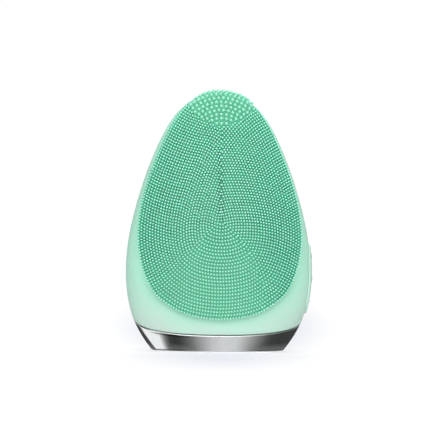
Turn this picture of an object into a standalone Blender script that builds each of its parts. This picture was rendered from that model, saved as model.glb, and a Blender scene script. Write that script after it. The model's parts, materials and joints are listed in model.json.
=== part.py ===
"""Silicone facial cleansing brush with a plated base, modelled as a bench assembly.

Frame: metres, +Z up, origin on the resting face under the foot, bristles face -Y, key panel on +X.
All dimensions below are in millimetres and are turned into metres when a mesh is made.
"""

import math

import bmesh
import bpy
import numpy as np
from mathutils import Matrix, Vector

MM = 0.001

# ---------------------------------------------------------------- outer form
TOP_Z = 103.4                 # top of the silicone skin
# stations of the outer form: (z, half width), (z, depth to the front), (z, depth to the back)
WIDTH_STATIONS = [
    (-3.0, 23.2), (0.0, 25.95), (3.8, 28.88), (11.0, 33.05), (15.0, 34.6), (20.0, 35.9),
    (31.0, 37.0), (45.0, 36.0), (59.0, 32.9), (73.4, 28.3), (87.8, 22.0), (97.4, 15.1),
    (TOP_Z, 0.0)]
FRONT_STATIONS = [
    (-3.0, 13.6), (0.0, 15.8), (3.8, 17.6), (11.0, 19.4), (20.0, 20.4), (31.0, 20.8),
    (45.0, 20.1), (60.0, 18.3), (75.0, 15.1), (88.0, 10.7), (97.4, 6.1), (100.4, 4.45),
    (102.0, 3.15), (TOP_Z, 0.0)]
BACK_STATIONS = [
    (-3.0, 13.6), (0.0, 15.8), (3.8, 17.7), (11.0, 19.7), (20.0, 20.9), (31.0, 21.5),
    (45.0, 21.1), (60.0, 19.2), (75.0, 15.8), (88.0, 11.1), (97.4, 6.3), (100.4, 4.5),
    (102.0, 3.15), (TOP_Z, 0.0)]
FRONT_EXPONENT, BACK_EXPONENT = 2.45, 2.3   # superellipse exponents of the horizontal section
FORM_ROWS, FORM_COLS = 16, 28

# ---------------------------------------------------------------- shared dimensions
SKIN_T = 1.8                  # silicone skin
SKIN_FIT = 0.15               # gap round the pad and the key panel
RIM_Z, RIM_SLOPE = 12.4, 0.288  # base rim: height at the sides, rise per mm towards the back
RIM_GAP = 0.2                 # each side of the rim plane, along Z

PANEL_Z = 29.3                # middle of the key panel
KEY_PITCH = 8.9
KEYS = {"plus": PANEL_Z + KEY_PITCH, "power": PANEL_Z, "minus": PANEL_Z - KEY_PITCH}
POST_R = 1.5                  # post behind each key

BOARD_Y0, BOARD_Y1 = -9.4, -8.2   # front and back faces of the main board
BOARD_SCREWS = [(0.0, 18.0), (0.0, 50.0)]                             # x, z
SHELL_SCREWS = [(-25.0, 19.0), (25.0, 49.5), (-25.0, 49.5), (21.5, 13.2)]  # x, z
BASE_SCREWS = [(-16.0, -7.0), (16.0, -7.0), (-16.0, 7.0), (16.0, 7.0)]     # x, y

FOAM_BACK_Y = 13.65
MOTOR_Y, MOTOR_Z0, MOTOR_Z1, MOTOR_R = -1.0, 58.0, 79.0, 6.0
CLAMP_HALF_W = 12.6
CLAMP_Z0, CLAMP_Z1 = 65.0, 72.0
CLAMP_SCREW_Z = (CLAMP_Z0 + CLAMP_Z1) / 2
CLAMP_SCREW_XS = [-10.3, 10.3]
CLAMP_EAR_Y = MOTOR_Y + 1.7   # back face of the clamp's ears

SCREW_R, SCREW_HEAD_R, SCREW_HEAD_H = 0.95, 1.8, 1.2
PILOT_R = SCREW_R + 0.08      # hole the screw bites into
CLEAR_R = SCREW_R + 0.2       # hole the screw passes through
BORE_SIDES, BOSS_SIDES = 12, 14
SHELL_SEAT_Y, CUP_SEAT_Z = 3.0, 3.2   # ends of the screw head bores
CONTACT_GAP = 0.05            # between pieces that rest on each other

FAR = 60.0                    # runs a cutting tool past the form
BOSS_FAR = 30.0               # runs a boss past the casing wall before it is trimmed
TOOL = "tool"                 # name of a temporary Boolean operand

# name: (base colour, roughness, metallic)
MATERIALS = {
    "skin_silicone": ((0.45, 0.80, 0.64), 0.45, 0.0),
    "bristle_silicone": ((0.13, 0.55, 0.38), 0.40, 0.0),
    "plated_chrome": ((0.62, 0.63, 0.64), 0.08, 1.0),
    "foot_rubber": ((0.72, 0.73, 0.74), 0.7, 0.0),
    "white_abs": ((0.86, 0.87, 0.85), 0.5, 0.0),
    "seal_rubber": ((0.03, 0.03, 0.03), 0.7, 0.0),
    "board_green": ((0.02, 0.20, 0.10), 0.5, 0.0),
    "chip_black": ((0.02, 0.02, 0.02), 0.4, 0.0),
    "connector_white": ((0.80, 0.78, 0.70), 0.5, 0.0),
    "led_clear": ((0.85, 0.95, 0.90), 0.2, 0.0),
    "cell_wrap": ((0.55, 0.57, 0.60), 0.35, 0.4),
    "foam_grey": ((0.20, 0.20, 0.21), 0.95, 0.0),
    "motor_steel": ((0.58, 0.58, 0.60), 0.25, 1.0),
    "magnet_dark": ((0.16, 0.15, 0.15), 0.5, 0.3),
    "bronze": ((0.62, 0.40, 0.18), 0.35, 1.0),
    "bell_nylon": ((0.10, 0.10, 0.11), 0.55, 0.0),
    "tungsten": ((0.35, 0.35, 0.37), 0.35, 1.0),
    "copper": ((0.80, 0.42, 0.22), 0.3, 1.0),
    "ferrite": ((0.08, 0.08, 0.09), 0.6, 0.0),
    "wire_red": ((0.60, 0.03, 0.03), 0.5, 0.0),
    "wire_black": ((0.02, 0.02, 0.02), 0.5, 0.0),
    "ribbon_film": ((0.60, 0.30, 0.08), 0.4, 0.0),
    "screw_steel": ((0.50, 0.50, 0.52), 0.3, 1.0),
}
FLAT = 0                      # edge angle that leaves a piece unsmoothed


# ---------------------------------------------------------------- curves of the outer form
def squared_spline(stations):
    """Natural cubic spline through the squares of (z, value) stations, as a function of z."""
    x = np.array([z for z, _ in stations], float)
    y = np.array([value * value for _, value in stations], float)
    count = len(x)
    h = np.diff(x)
    matrix = np.zeros((count, count))
    right = np.zeros(count)
    matrix[0, 0] = matrix[-1, -1] = 1.0
    for i in range(1, count - 1):
        matrix[i, i - 1:i + 2] = h[i - 1], 2 * (h[i - 1] + h[i]), h[i]
        right[i] = 6 * ((y[i + 1] - y[i]) / h[i] - (y[i] - y[i - 1]) / h[i - 1])
    m = np.linalg.solve(matrix, right)   # second derivatives at the stations

    def value_at(z):
        i = int(np.clip(np.searchsorted(x, z) - 1, 0, count - 2))
        p, q = x[i + 1] - z, z - x[i]
        return ((m[i] * p ** 3 + m[i + 1] * q ** 3) / (6 * h[i])
                + (y[i] / h[i] - m[i] * h[i] / 6) * p
                + (y[i + 1] / h[i] - m[i + 1] * h[i] / 6) * q)

    return value_at


WIDTH2 = squared_spline(WIDTH_STATIONS)
FRONT2 = squared_spline(FRONT_STATIONS)
BACK2 = squared_spline(BACK_STATIONS)


def root(curve, z):
    """Value of a squared spline at z, kept above zero."""
    return math.sqrt(max(curve(z), 1e-9))


def slope(curve, z, step=0.01):
    return (root(curve, z + step) - root(curve, z - step)) / (2 * step)


def surface_point(z, theta):
    """Point and outward normal of the form at z; theta 0 is +X, -90 degrees is the front."""
    c, s = math.cos(theta), math.sin(theta)
    n, depth2 = (BACK_EXPONENT, BACK2) if s >= 0 else (FRONT_EXPONENT, FRONT2)
    width, depth = root(WIDTH2, z), root(depth2, z)
    x = width * math.copysign(abs(c) ** (2 / n), c)
    y = depth * math.copysign(abs(s) ** (2 / n), s)
    u, v = abs(x) / width, abs(y) / depth
    gradient = Vector((
        math.copysign(u ** (n - 1) / width, x) if u > 0 else 0.0,
        math.copysign(v ** (n - 1) / depth, y) if v > 0 else 0.0,
        -(u ** n * slope(WIDTH2, z) / width + v ** n * slope(depth2, z) / depth)))
    return Vector((x, y, z)), gradient.normalized()


# ---------------------------------------------------------------- solids
def face_outwards(bm):
    """Turns every face of a closed body outwards."""
    bmesh.ops.recalc_face_normals(bm, faces=bm.faces)
    if bm.calc_volume(signed=True) < 0:
        bmesh.ops.reverse_faces(bm, faces=bm.faces)


def make_object(name, bm):
    """Object in metres from a bmesh in mm."""
    face_outwards(bm)
    for v in bm.verts:
        v.co = v.co * MM
    mesh = bpy.data.meshes.new(name)
    bm.to_mesh(mesh)
    bm.free()
    obj = bpy.data.objects.new(name, mesh)
    bpy.context.scene.collection.objects.link(obj)
    return obj


# A cut is (point, normal): what lies on the normal's side of the plane goes.
def above(z):
    """Cut that keeps what is above z."""
    return (0, 0, z), (0, 0, -1)


def below(z):
    """Cut that keeps what is below z."""
    return (0, 0, z), (0, 0, 1)


def right_of(x):
    """Cut that keeps what is on the +X side of x."""
    return (x, 0, 0), (-1, 0, 0)


def beyond(y, side):
    """Cut at y that keeps the front for side -1 and the back for side 1."""
    return (0, y, 0), (0, -side, 0)


def rim_cut(shift, keep_above):
    """Cut on the tilted rim plane, moved along Z by shift."""
    normal = Vector((0, -RIM_SLOPE, 1)).normalized()
    return (0, 0, RIM_Z + shift), -normal if keep_above else normal


def form(name, offset, cuts=()):
    """Closed solid of the outer form, moved along its normals by offset, then cut by planes."""
    bm = bmesh.new()
    low = WIDTH_STATIONS[0][0]
    rings = []
    for i in range(FORM_ROWS):
        z = low + (TOP_Z - low) * math.sin(math.pi / 2 * i / FORM_ROWS)
        ring = []
        for j in range(FORM_COLS):
            point, normal = surface_point(z, 2 * math.pi * j / FORM_COLS)
            ring.append(bm.verts.new(point + normal * offset))
        rings.append(ring)
    pole = bm.verts.new((0, 0, TOP_Z + offset))
    for lower, upper in zip(rings, rings[1:]):
        for j in range(FORM_COLS):
            k = (j + 1) % FORM_COLS
            bm.faces.new((lower[j], lower[k], upper[k], upper[j]))
    for j in range(FORM_COLS):
        bm.faces.new((rings[-1][j], rings[-1][(j + 1) % FORM_COLS], pole))
    bm.faces.new(list(reversed(rings[0])))
    for point, normal in cuts:
        bmesh.ops.bisect_plane(bm, geom=bm.verts[:] + bm.edges[:] + bm.faces[:], dist=1e-6,
                               plane_co=Vector(point), plane_no=Vector(normal), clear_outer=True)
        bmesh.ops.edgeloop_fill(bm, edges=[e for e in bm.edges if e.is_boundary])
    return make_object(name, bm)


def hollow_form(name, outer, outer_cuts, inner, inner_cuts):
    """The form at the outer offset, less the form at the inner offset."""
    obj = form(name, outer, outer_cuts)
    subtract(obj, form(TOOL, inner, inner_cuts))
    return obj


def combine(target, tool, operation):
    """Applies an exact Boolean of target with tool, and removes the tool."""
    mod = target.modifiers.new("join", "BOOLEAN")
    mod.operation = operation
    mod.object = tool
    mod.solver = "EXACT"
    bpy.context.view_layer.update()
    graph = bpy.context.evaluated_depsgraph_get()
    mesh = bpy.data.meshes.new_from_object(target.evaluated_get(graph), depsgraph=graph)
    target.modifiers.clear()
    bm = bmesh.new()
    bm.from_mesh(mesh)
    face_outwards(bm)
    bm.to_mesh(mesh)
    bm.free()
    old = target.data
    target.data = mesh
    bpy.data.meshes.remove(old)
    bpy.data.objects.remove(tool, do_unlink=True)


def subtract(target, tool):
    combine(target, tool, "DIFFERENCE")


def intersect(target, tool):
    combine(target, tool, "INTERSECT")


def unite(target, tool):
    combine(target, tool, "UNION")


def cylinder(name, radius, start, end, sides):
    """Cylinder between two points."""
    start, end = Vector(start), Vector(end)
    axis = end - start
    turn = axis.to_track_quat("Z", "Y").to_matrix().to_4x4()
    bm = bmesh.new()
    bmesh.ops.create_cone(bm, cap_ends=True, segments=sides, radius1=radius, radius2=radius,
                          depth=axis.length,
                          matrix=Matrix.Translation((start + end) / 2) @ turn)
    return make_object(name, bm)


def drill(target, radius, start, end, sides=BORE_SIDES):
    subtract(target, cylinder(TOOL, radius, start, end, sides))


def box(name, low, high, bevel=0.0, segments=1):
    """Box between two opposite corners."""
    low, high = Vector(low), Vector(high)
    bm = bmesh.new()
    bmesh.ops.create_cube(bm, size=1.0)
    for v in bm.verts:
        v.co = Vector([low[k] + (high[k] - low[k]) * (v.co[k] + 0.5) for k in range(3)])
    if bevel:
        bmesh.ops.bevel(bm, geom=bm.edges[:], offset=bevel, segments=segments,
                        profile=0.5, affect="EDGES")
    return make_object(name, bm)


def prism(name, outline, low, high, axis):
    """Closed outline swept along an axis. It reads (y, z) for X, (x, z) for Y, (x, y) for Z."""
    place = {"X": lambda p, t: (t, p[0], p[1]),
             "Y": lambda p, t: (p[0], t, p[1]),
             "Z": lambda p, t: (p[0], p[1], t)}[axis]
    bm = bmesh.new()
    start = [bm.verts.new(place(p, low)) for p in outline]
    end = [bm.verts.new(place(p, high)) for p in outline]
    bm.faces.new(start)
    bm.faces.new(list(reversed(end)))
    for i in range(len(outline)):
        j = (i + 1) % len(outline)
        bm.faces.new((start[i], end[i], end[j], start[j]))
    return make_object(name, bm)


def turned(name, profile, centre, sides, along_y=False):
    """Solid of revolution from (radius, height) points, about Z or Y through centre."""
    turn = Matrix.Rotation(-math.pi / 2 if along_y else 0.0, 3, "X")
    centre = Vector(centre)
    bm = bmesh.new()
    rings = []
    for radius, height in profile:
        angles = [2 * math.pi * k / sides for k in range(sides)] if radius > 0 else [0.0]
        rings.append([bm.verts.new(centre + turn @ Vector(
            (radius * math.cos(a), radius * math.sin(a), height))) for a in angles])
    pairs = list(zip(rings, rings[1:]))
    if len(rings[0]) > 1 and len(rings[-1]) > 1:   # open at the axis: close the bore
        pairs.append((rings[-1], rings[0]))
    for a, b in pairs:
        for k in range(sides):
            m = (k + 1) % sides
            if len(a) == 1:
                bm.faces.new((a[0], b[m], b[k]))
            elif len(b) == 1:
                bm.faces.new((a[k], a[m], b[0]))
            else:
                bm.faces.new((a[k], a[m], b[m], b[k]))
    return make_object(name, bm)


def tube(name, inner, outer, low, high, centre, sides, along_y=False):
    """Plain ring, or a disc when the inner radius is zero."""
    profile = [(inner, low), (outer, low), (outer, high), (inner, high)]
    return turned(name, profile, centre, sides, along_y)


def get_material(name):
    mat = bpy.data.materials.get(name)
    if mat is None:
        colour, roughness, metallic = MATERIALS[name]
        mat = bpy.data.materials.new(name)
        mat.use_nodes = True
        bsdf = mat.node_tree.nodes["Principled BSDF"]
        bsdf.inputs["Base Color"].default_value = (*colour, 1.0)
        bsdf.inputs["Roughness"].default_value = roughness
        bsdf.inputs["Metallic"].default_value = metallic
        mat.diffuse_color = (*colour, 1.0)
    return mat


def finish(obj, material, edge_angle=40):
    """Sets the material, and shades smooth except at edges sharper than edge_angle degrees."""
    obj.data.materials.clear()
    obj.data.materials.append(get_material(material))
    if edge_angle:
        obj.data.shade_smooth()
        obj.data.set_sharp_from_angle(angle=math.radians(edge_angle))


# ---------------------------------------------------------------- skin and bristle pad
# (z, half width) of the pad in front view; its top runs past the form's top
PAD_STATIONS = [
    (12.5, 0.0), (14.2, 15.0), (16.6, 19.8), (21.4, 25.4), (26.2, 28.4), (31.0, 30.4),
    (38.2, 32.2), (45.4, 33.0), (52.6, 32.6), (59.8, 31.4), (69.4, 28.7), (79.0, 25.1),
    (88.6, 20.8), (95.8, 16.4), (106.5, 0.0)]
PAD_STEPS = 34
PAD_BACK_Y = 2.4              # the pad wraps over the top as far as this plane
BRISTLE_H = 1.6               # bristle field height above the skin

PANEL_H, PANEL_W, PANEL_PROUD = 27.8, 13.6, 0.7
PANEL_T = SKIN_T - 0.1        # depth of the panel below the form
PANEL_TOOL_X = 25.0           # start of the panel outline tools


def pad_outline(margin=0.0):
    """Closed (x, z) outline of the bristle pad in front view, moved outwards by margin."""
    pad2 = squared_spline(PAD_STATIONS)
    low, high = PAD_STATIONS[0][0], PAD_STATIONS[-1][0]
    half = [(0.0, low)]
    for i in range(1, PAD_STEPS):
        z = low + (high - low) * (1 - math.cos(math.pi * i / PAD_STEPS)) / 2
        half.append((root(pad2, z), z))
    half.append((0.0, high))
    ring = half + [(-x, z) for x, z in reversed(half[1:-1])]
    if not margin:
        return ring
    moved = []
    for i, (x, z) in enumerate(ring):
        before, after = ring[i - 1], ring[(i + 1) % len(ring)]
        tangent = Vector((after[0] - before[0], after[1] - before[1])).normalized()
        moved.append((x + tangent.y * margin, z - tangent.x * margin))
    return moved


def panel_outline(margin=0.0, steps=8):
    """Closed (y, z) outline of the key panel, an upright strip with round ends."""
    radius = (PANEL_W + 2 * margin) / 2
    rise = (PANEL_H + 2 * margin) / 2 - radius
    outline = []
    for centre, start in ((PANEL_Z + rise, 0.0), (PANEL_Z - rise, math.pi)):
        for i in range(steps + 1):
            a = start + math.pi * i / steps
            outline.append((radius * math.cos(a), centre + radius * math.sin(a)))
    return outline


def build_skin():
    skin = hollow_form("silicone_body", 0.0, [rim_cut(RIM_GAP, True)], -SKIN_T, [above(-1.0)])
    subtract(skin, prism(TOOL, pad_outline(SKIN_FIT), -FAR, PAD_BACK_Y + SKIN_FIT, "Y"))
    subtract(skin, prism(TOOL, panel_outline(SKIN_FIT), PANEL_TOOL_X, FAR, "X"))
    finish(skin, "skin_silicone")


def build_pad():
    """Membrane and bristle field as one envelope."""
    pad = hollow_form("brush_pad", BRISTLE_H, [above(2.0)], -SKIN_T, [above(1.0)])
    intersect(pad, prism(TOOL, pad_outline(), -FAR, PAD_BACK_Y, "Y"))
    finish(pad, "bristle_silicone")


# ---------------------------------------------------------------- keys and switches on +X
KEY_R, KEY_GAP, KEY_SIDES = 3.7, 0.35, 24
KEY_T = 1.0                   # depth of a key below the form
KEY_TOOL_X = 20.0             # start of the key cutting tools
KEY_WINDOW = 8.0              # half height of the band a key is cut from
POST_TIP_X, POST_SINK = 31.5, 0.2   # the post's outer end stops short of the form
STEM_R, STEM_X0 = 1.0, 29.6
STEM_GAP = 0.1                # between a stem and its post

SWITCH_BOARD_X, SWITCH_BOARD_HALF_T, SWITCH_BOARD_HALF_W = 27.6, 0.5, 4.5
SWITCH_BOARD_Z0, SWITCH_BOARD_Z1 = 14.6, 44.0
SWITCH_X0 = SWITCH_BOARD_X + SWITCH_BOARD_HALF_T + CONTACT_GAP
SWITCH_X1, SWITCH_HALF_W, SWITCH_BEVEL = 30.6, 2.3, 0.2
SWITCH_WELL_R, SWITCH_WELL_X0, SWITCH_WELL_X1 = 1.2, 28.8, 33.0


def build_panel():
    panel = hollow_form("button_panel", PANEL_PROUD, [above(8.0), below(50.0), right_of(20)],
                        -PANEL_T, [above(5.0), below(55.0), right_of(10)])
    intersect(panel, prism(TOOL, panel_outline(), PANEL_TOOL_X, FAR, "X"))
    for z in KEYS.values():
        drill(panel, KEY_R + KEY_GAP, (KEY_TOOL_X, 0, z), (FAR, 0, z), KEY_SIDES)
    finish(panel, "skin_silicone")


def build_key(key, z):
    """Cap with its post, the stem behind it and the switch."""
    inner_window = KEY_WINDOW + 1.0
    cap = hollow_form(
        "button_" + key, PANEL_PROUD,
        [above(z - KEY_WINDOW), below(z + KEY_WINDOW), right_of(20)],
        -KEY_T, [above(z - inner_window), below(z + inner_window), right_of(10)])
    intersect(cap, cylinder(TOOL, KEY_R, (KEY_TOOL_X, 0, z), (FAR, 0, z), KEY_SIDES))
    post_end = (root(WIDTH2, z) - POST_SINK, 0, z)
    unite(cap, cylinder(TOOL, POST_R, (POST_TIP_X, 0, z), post_end, 12))
    finish(cap, "skin_silicone")

    stem_end = (POST_TIP_X - STEM_GAP, 0, z)
    stem = cylinder("stem_" + key, STEM_R, (STEM_X0, 0, z), stem_end, 12)
    finish(stem, "bell_nylon")

    switch = box("switch_" + key, (SWITCH_X0, -SWITCH_HALF_W, z - SWITCH_HALF_W),
                 (SWITCH_X1, SWITCH_HALF_W, z + SWITCH_HALF_W), SWITCH_BEVEL)
    drill(switch, SWITCH_WELL_R, (SWITCH_WELL_X0, 0, z), (SWITCH_WELL_X1, 0, z), 16)
    finish(switch, "chip_black", FLAT)


def build_switch_board():
    board = box("switch_board",
                (SWITCH_BOARD_X - SWITCH_BOARD_HALF_T, -SWITCH_BOARD_HALF_W, SWITCH_BOARD_Z0),
                (SWITCH_BOARD_X + SWITCH_BOARD_HALF_T, SWITCH_BOARD_HALF_W, SWITCH_BOARD_Z1))
    finish(board, "board_green", FLAT)


# ---------------------------------------------------------------- casing, parted at y = 0
CASE_GAP, CASE_T = 0.15, 1.6
CASE_FLOOR_Z = 6.0
CASE_OUT = -(SKIN_T + CASE_GAP)   # offsets of the casing's outer, inner and middle surfaces
CASE_IN = CASE_OUT - CASE_T
CASE_MID = CASE_OUT - 0.9
PART_GAP = 0.1                # from y = 0 to each shell's edge
PART_OVERLAP = 2.0            # the hollow runs this far past y = 0
BOSS_R = 2.6
BASE_BOSS_TOP_Z = 13.0
BOARD_POST_R = 2.4
CRADLE_Z0, CRADLE_Z1 = 62.0, 75.0
RIB_XS, RIB_HALF_T = (-9.0, 9.0), 0.8   # battery ribs
RIB_Y0 = FOAM_BACK_Y + 0.1
RIB_Z0, RIB_Z1 = 18.0, 50.0
SWITCH_RIB = (24.2, 2.2, 26.5), (26.9, BOSS_FAR, 32.5)
LEAD_HOLE = (-3.2, 10.6, 3.0), (3.2, 13.4, 10.0)   # coil leads, through the floor


def casing_shell(name, side):
    """Bare shell: side -1 is the front, 1 the back."""
    return hollow_form(
        name, CASE_OUT, [above(CASE_FLOOR_Z), beyond(side * PART_GAP, side)],
        CASE_IN, [above(CASE_FLOOR_Z + CASE_T), beyond(-side * PART_OVERLAP, side)])


def add_boss(shell, piece):
    """Joins a boss to a shell after trimming it to the middle of the wall."""
    intersect(piece, form(TOOL, CASE_MID, [above(CASE_FLOOR_Z + 0.6)]))
    unite(shell, piece)


def add_base_bosses(shell, side):
    """Screw bosses on this side's half of the casing floor."""
    for x, y in BASE_SCREWS:
        if y * side > 0:
            add_boss(shell, cylinder(TOOL, BOSS_R, (x, y, CASE_FLOOR_Z + 0.2),
                                     (x, y, BASE_BOSS_TOP_Z), BOSS_SIDES))
            drill(shell, PILOT_R, (x, y, 3.0), (x, y, 12.0))


def cut_post_holes(shell):
    """Key post holes, which straddle the parting line."""
    for z in KEYS.values():
        drill(shell, POST_R + 0.45, (29.0, 0, z), (45.0, 0, z), 16)


def build_front_shell():
    shell = casing_shell("front_shell", -1)
    for x, z in SHELL_SCREWS:
        add_boss(shell, cylinder(TOOL, BOSS_R, (x, -BOSS_FAR, z), (x, -PART_GAP, z), BOSS_SIDES))
        drill(shell, PILOT_R, (x, -8.4, z), (x, 5.0, z))
    add_base_bosses(shell, -1)
    for x, z in BOARD_SCREWS:
        add_boss(shell, cylinder(TOOL, BOARD_POST_R, (x, -BOSS_FAR, z),
                                 (x, BOARD_Y0 - CONTACT_GAP, z), BOSS_SIDES))
        drill(shell, PILOT_R, (x, -14.0, z), (x, -5.0, z))
    # motor cradle
    add_boss(shell, box(TOOL, (-CLAMP_HALF_W, -BOSS_FAR, CRADLE_Z0),
                        (CLAMP_HALF_W, MOTOR_Y - 0.3, CRADLE_Z1)))
    drill(shell, MOTOR_R + 0.75, (0, MOTOR_Y, 55.0), (0, MOTOR_Y, 83.0), 28)
    for x in CLAMP_SCREW_XS:
        drill(shell, PILOT_R, (x, -7.5, CLAMP_SCREW_Z), (x, 2.0, CLAMP_SCREW_Z))
    cut_post_holes(shell)
    finish(shell, "white_abs")


def build_back_shell():
    shell = casing_shell("back_shell", 1)
    for x, z in SHELL_SCREWS:
        add_boss(shell, cylinder(TOOL, BOSS_R, (x, PART_GAP, z), (x, BOSS_FAR, z), BOSS_SIDES))
        drill(shell, SCREW_R + 0.15, (x, -5.0, z), (x, 40, z))
        drill(shell, SCREW_HEAD_R + 0.2, (x, SHELL_SEAT_Y, z), (x, 40, z), BOSS_SIDES)
    add_base_bosses(shell, 1)
    for x in RIB_XS:
        add_boss(shell, box(TOOL, (x - RIB_HALF_T, RIB_Y0, RIB_Z0),
                            (x + RIB_HALF_T, BOSS_FAR, RIB_Z1)))
    add_boss(shell, box(TOOL, *SWITCH_RIB))
    cut_post_holes(shell)
    subtract(shell, box(TOOL, *LEAD_HOLE))
    finish(shell, "white_abs")


# ---------------------------------------------------------------- plated base, seal and foot
CUP_BOTTOM_Z, CUP_T = 0.4, 1.8
CUP_LEDGE_Z = 4.95            # ledge under the seal
CUP_FLOOR_Z, CUP_WELL_INSET = 2.4, 4.2   # well inside the ledge
CUP_BOSS_R, CUP_BOSS_Z0, CUP_BOSS_Z1 = 3.1, 1.8, 5.8
SEAL_OUT, SEAL_IN = -2.1, -3.9   # offsets from the form
SEAL_Z0, SEAL_Z1 = 5.05, 5.85
FOOT_T, FOOT_INSET, FOOT_GAP = 1.0, 1.6, 0.12


def foot_outline(inset, count=32):
    """(x, y) outline of the form at the cup's bottom, moved inwards."""
    outline = []
    for j in range(count):
        point, normal = surface_point(CUP_BOTTOM_Z, 2 * math.pi * j / count)
        flat = Vector((normal.x, normal.y)).normalized()
        outline.append((point.x - flat.x * inset, point.y - flat.y * inset))
    return outline


def build_cup():
    cup = hollow_form("base_cup", 0.0, [above(CUP_BOTTOM_Z), rim_cut(-RIM_GAP, False)],
                      -CUP_T, [above(CUP_LEDGE_Z)])
    subtract(cup, form(TOOL, -CUP_WELL_INSET, [above(CUP_FLOOR_Z), below(7.0)]))
    for x, y in BASE_SCREWS:
        unite(cup, cylinder(TOOL, CUP_BOSS_R, (x, y, CUP_BOSS_Z0), (x, y, CUP_BOSS_Z1), 16))
        drill(cup, SCREW_HEAD_R + 0.25, (x, y, -1.0), (x, y, CUP_SEAT_Z), 16)
        drill(cup, CLEAR_R, (x, y, 2.0), (x, y, 8.0))
    # shallow recess for the foot
    recess = foot_outline(FOOT_INSET - FOOT_GAP)
    subtract(cup, prism(TOOL, recess, -2.0, FOOT_T + CONTACT_GAP, "Z"))
    finish(cup, "plated_chrome")


def build_foot():
    finish(prism("foot_pad", foot_outline(FOOT_INSET), 0.0, FOOT_T, "Z"), "foot_rubber")


def build_seal():
    seal = hollow_form("base_seal", SEAL_OUT, [above(SEAL_Z0), below(SEAL_Z1)],
                       SEAL_IN, [above(4.0), below(7.0)])
    finish(seal, "seal_rubber")


def build_charging():
    """Coil and ferrite disc under the casing floor."""
    finish(tube("charge_coil", 4.6, 10.4, 2.55, 3.75, (0, 0, 0), 32), "copper")
    finish(tube("coil_ferrite", 0.0, 10.9, 3.95, 4.85, (0, 0, 0), 28), "ferrite")


# ---------------------------------------------------------------- main board and battery
BOARD_HALF_W, BOARD_Z0, BOARD_Z1 = 17.0, 14.5, 53.5
PARTS_Y = BOARD_Y1 + CONTACT_GAP   # parts stand on the board's back face
# name, (x, z) low corner, (x, z) high corner, height, bevel, material
BOARD_PARTS = [
    ("mcu_chip", (-10.5, 31.0), (-3.5, 38.0), 1.1, 0.15, "chip_black"),
    ("charge_chip", (3.5, 23.0), (8.0, 27.5), 1.0, 0.15, "chip_black"),
    ("status_led", (12.5, 28.0), (15.0, 30.6), 1.0, 0.1, "led_clear"),
    ("battery_connector", (-13.5, 44.0), (-7.5, 48.6), 3.2, 0.2, "connector_white"),
    ("motor_connector", (5.5, 44.0), (11.5, 48.6), 3.2, 0.2, "connector_white"),
]
INDUCTOR_R, INDUCTOR_H, INDUCTOR_CENTRE = 2.6, 2.4, (7.0, 0, 34.0)
CELL = (-14.5, 4.6, 18.0), (14.5, 11.6, 51.0)
FOAM = (-12.5, CELL[1][1] + CONTACT_GAP, 20.0), (12.5, FOAM_BACK_Y, 49.0)


def build_main_board():
    board = box("main_board", (-BOARD_HALF_W, BOARD_Y0, BOARD_Z0),
                (BOARD_HALF_W, BOARD_Y1, BOARD_Z1))
    for x, z in BOARD_SCREWS:
        drill(board, CLEAR_R, (x, -12, z), (x, -5, z))
    finish(board, "board_green", FLAT)
    for name, (x0, z0), (x1, z1), height, bevel, material in BOARD_PARTS:
        part = box(name, (x0, PARTS_Y, z0), (x1, PARTS_Y + height, z1), bevel)
        finish(part, material, FLAT)
    finish(tube("power_inductor", 0.0, INDUCTOR_R, PARTS_Y, PARTS_Y + INDUCTOR_H,
                INDUCTOR_CENTRE, 16, along_y=True), "ferrite")


def build_battery():
    """Cell on its foam, against the back shell ribs."""
    finish(box("battery_cell", *CELL, bevel=1.2, segments=2), "cell_wrap")
    finish(box("battery_foam", *FOAM), "foam_grey", FLAT)


# ---------------------------------------------------------------- vibration motor
MOTOR_AXIS = (0, MOTOR_Y, 0)
CAN_T, CAN_END_T, CAN_HOLE_R = 0.6, 0.8, 1.95
CORE_INSET = 3.0              # magnet ends from the can ends
MAGNET_BORE_R = 3.9
BUSHING_R = 1.85
SHAFT_R = 1.0
SHAFT_BORE_R = SHAFT_R + 0.06
SHAFT_END_Z = MOTOR_Z1 + 7.6
BELL_R, BELL_SPIGOT_R = MOTOR_R - 0.4, MOTOR_R - 0.7
SLEEVE_Z0, SLEEVE_Z1 = 63.0, 74.0
# one third of the armature's outline: (angle, radius)
ARMATURE_THIRD = [
    (-0.75, 3.55), (-0.38, 3.62), (0.0, 3.65), (0.38, 3.62), (0.75, 3.55),
    (0.62, 2.9), (0.30, 2.4), (0.35, 1.9), (math.pi / 3, 1.9),
    (2 * math.pi / 3 - 0.35, 1.9), (2 * math.pi / 3 - 0.30, 2.4), (2 * math.pi / 3 - 0.62, 2.9)]
WEIGHT_R, WEIGHT_HUB_R = 4.9, 2.0
WEIGHT_Z0, WEIGHT_Z1 = MOTOR_Z1 + 1.6, MOTOR_Z1 + 7.0
CLAMP_ARCH_HALF_W = 8.2
CLAMP_BACK_Y = MOTOR_Y + 8.2
CLAMP_TOOL_Z0, CLAMP_TOOL_Z1 = 60.0, 80.0


def around_motor(radius, angle):
    """(x, y) point about the motor's axis."""
    return radius * math.cos(angle), MOTOR_Y + radius * math.sin(angle)


def bore_on_axis(target, radius, low, high, sides=24):
    drill(target, radius, (0, MOTOR_Y, low), (0, MOTOR_Y, high), sides)


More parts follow.
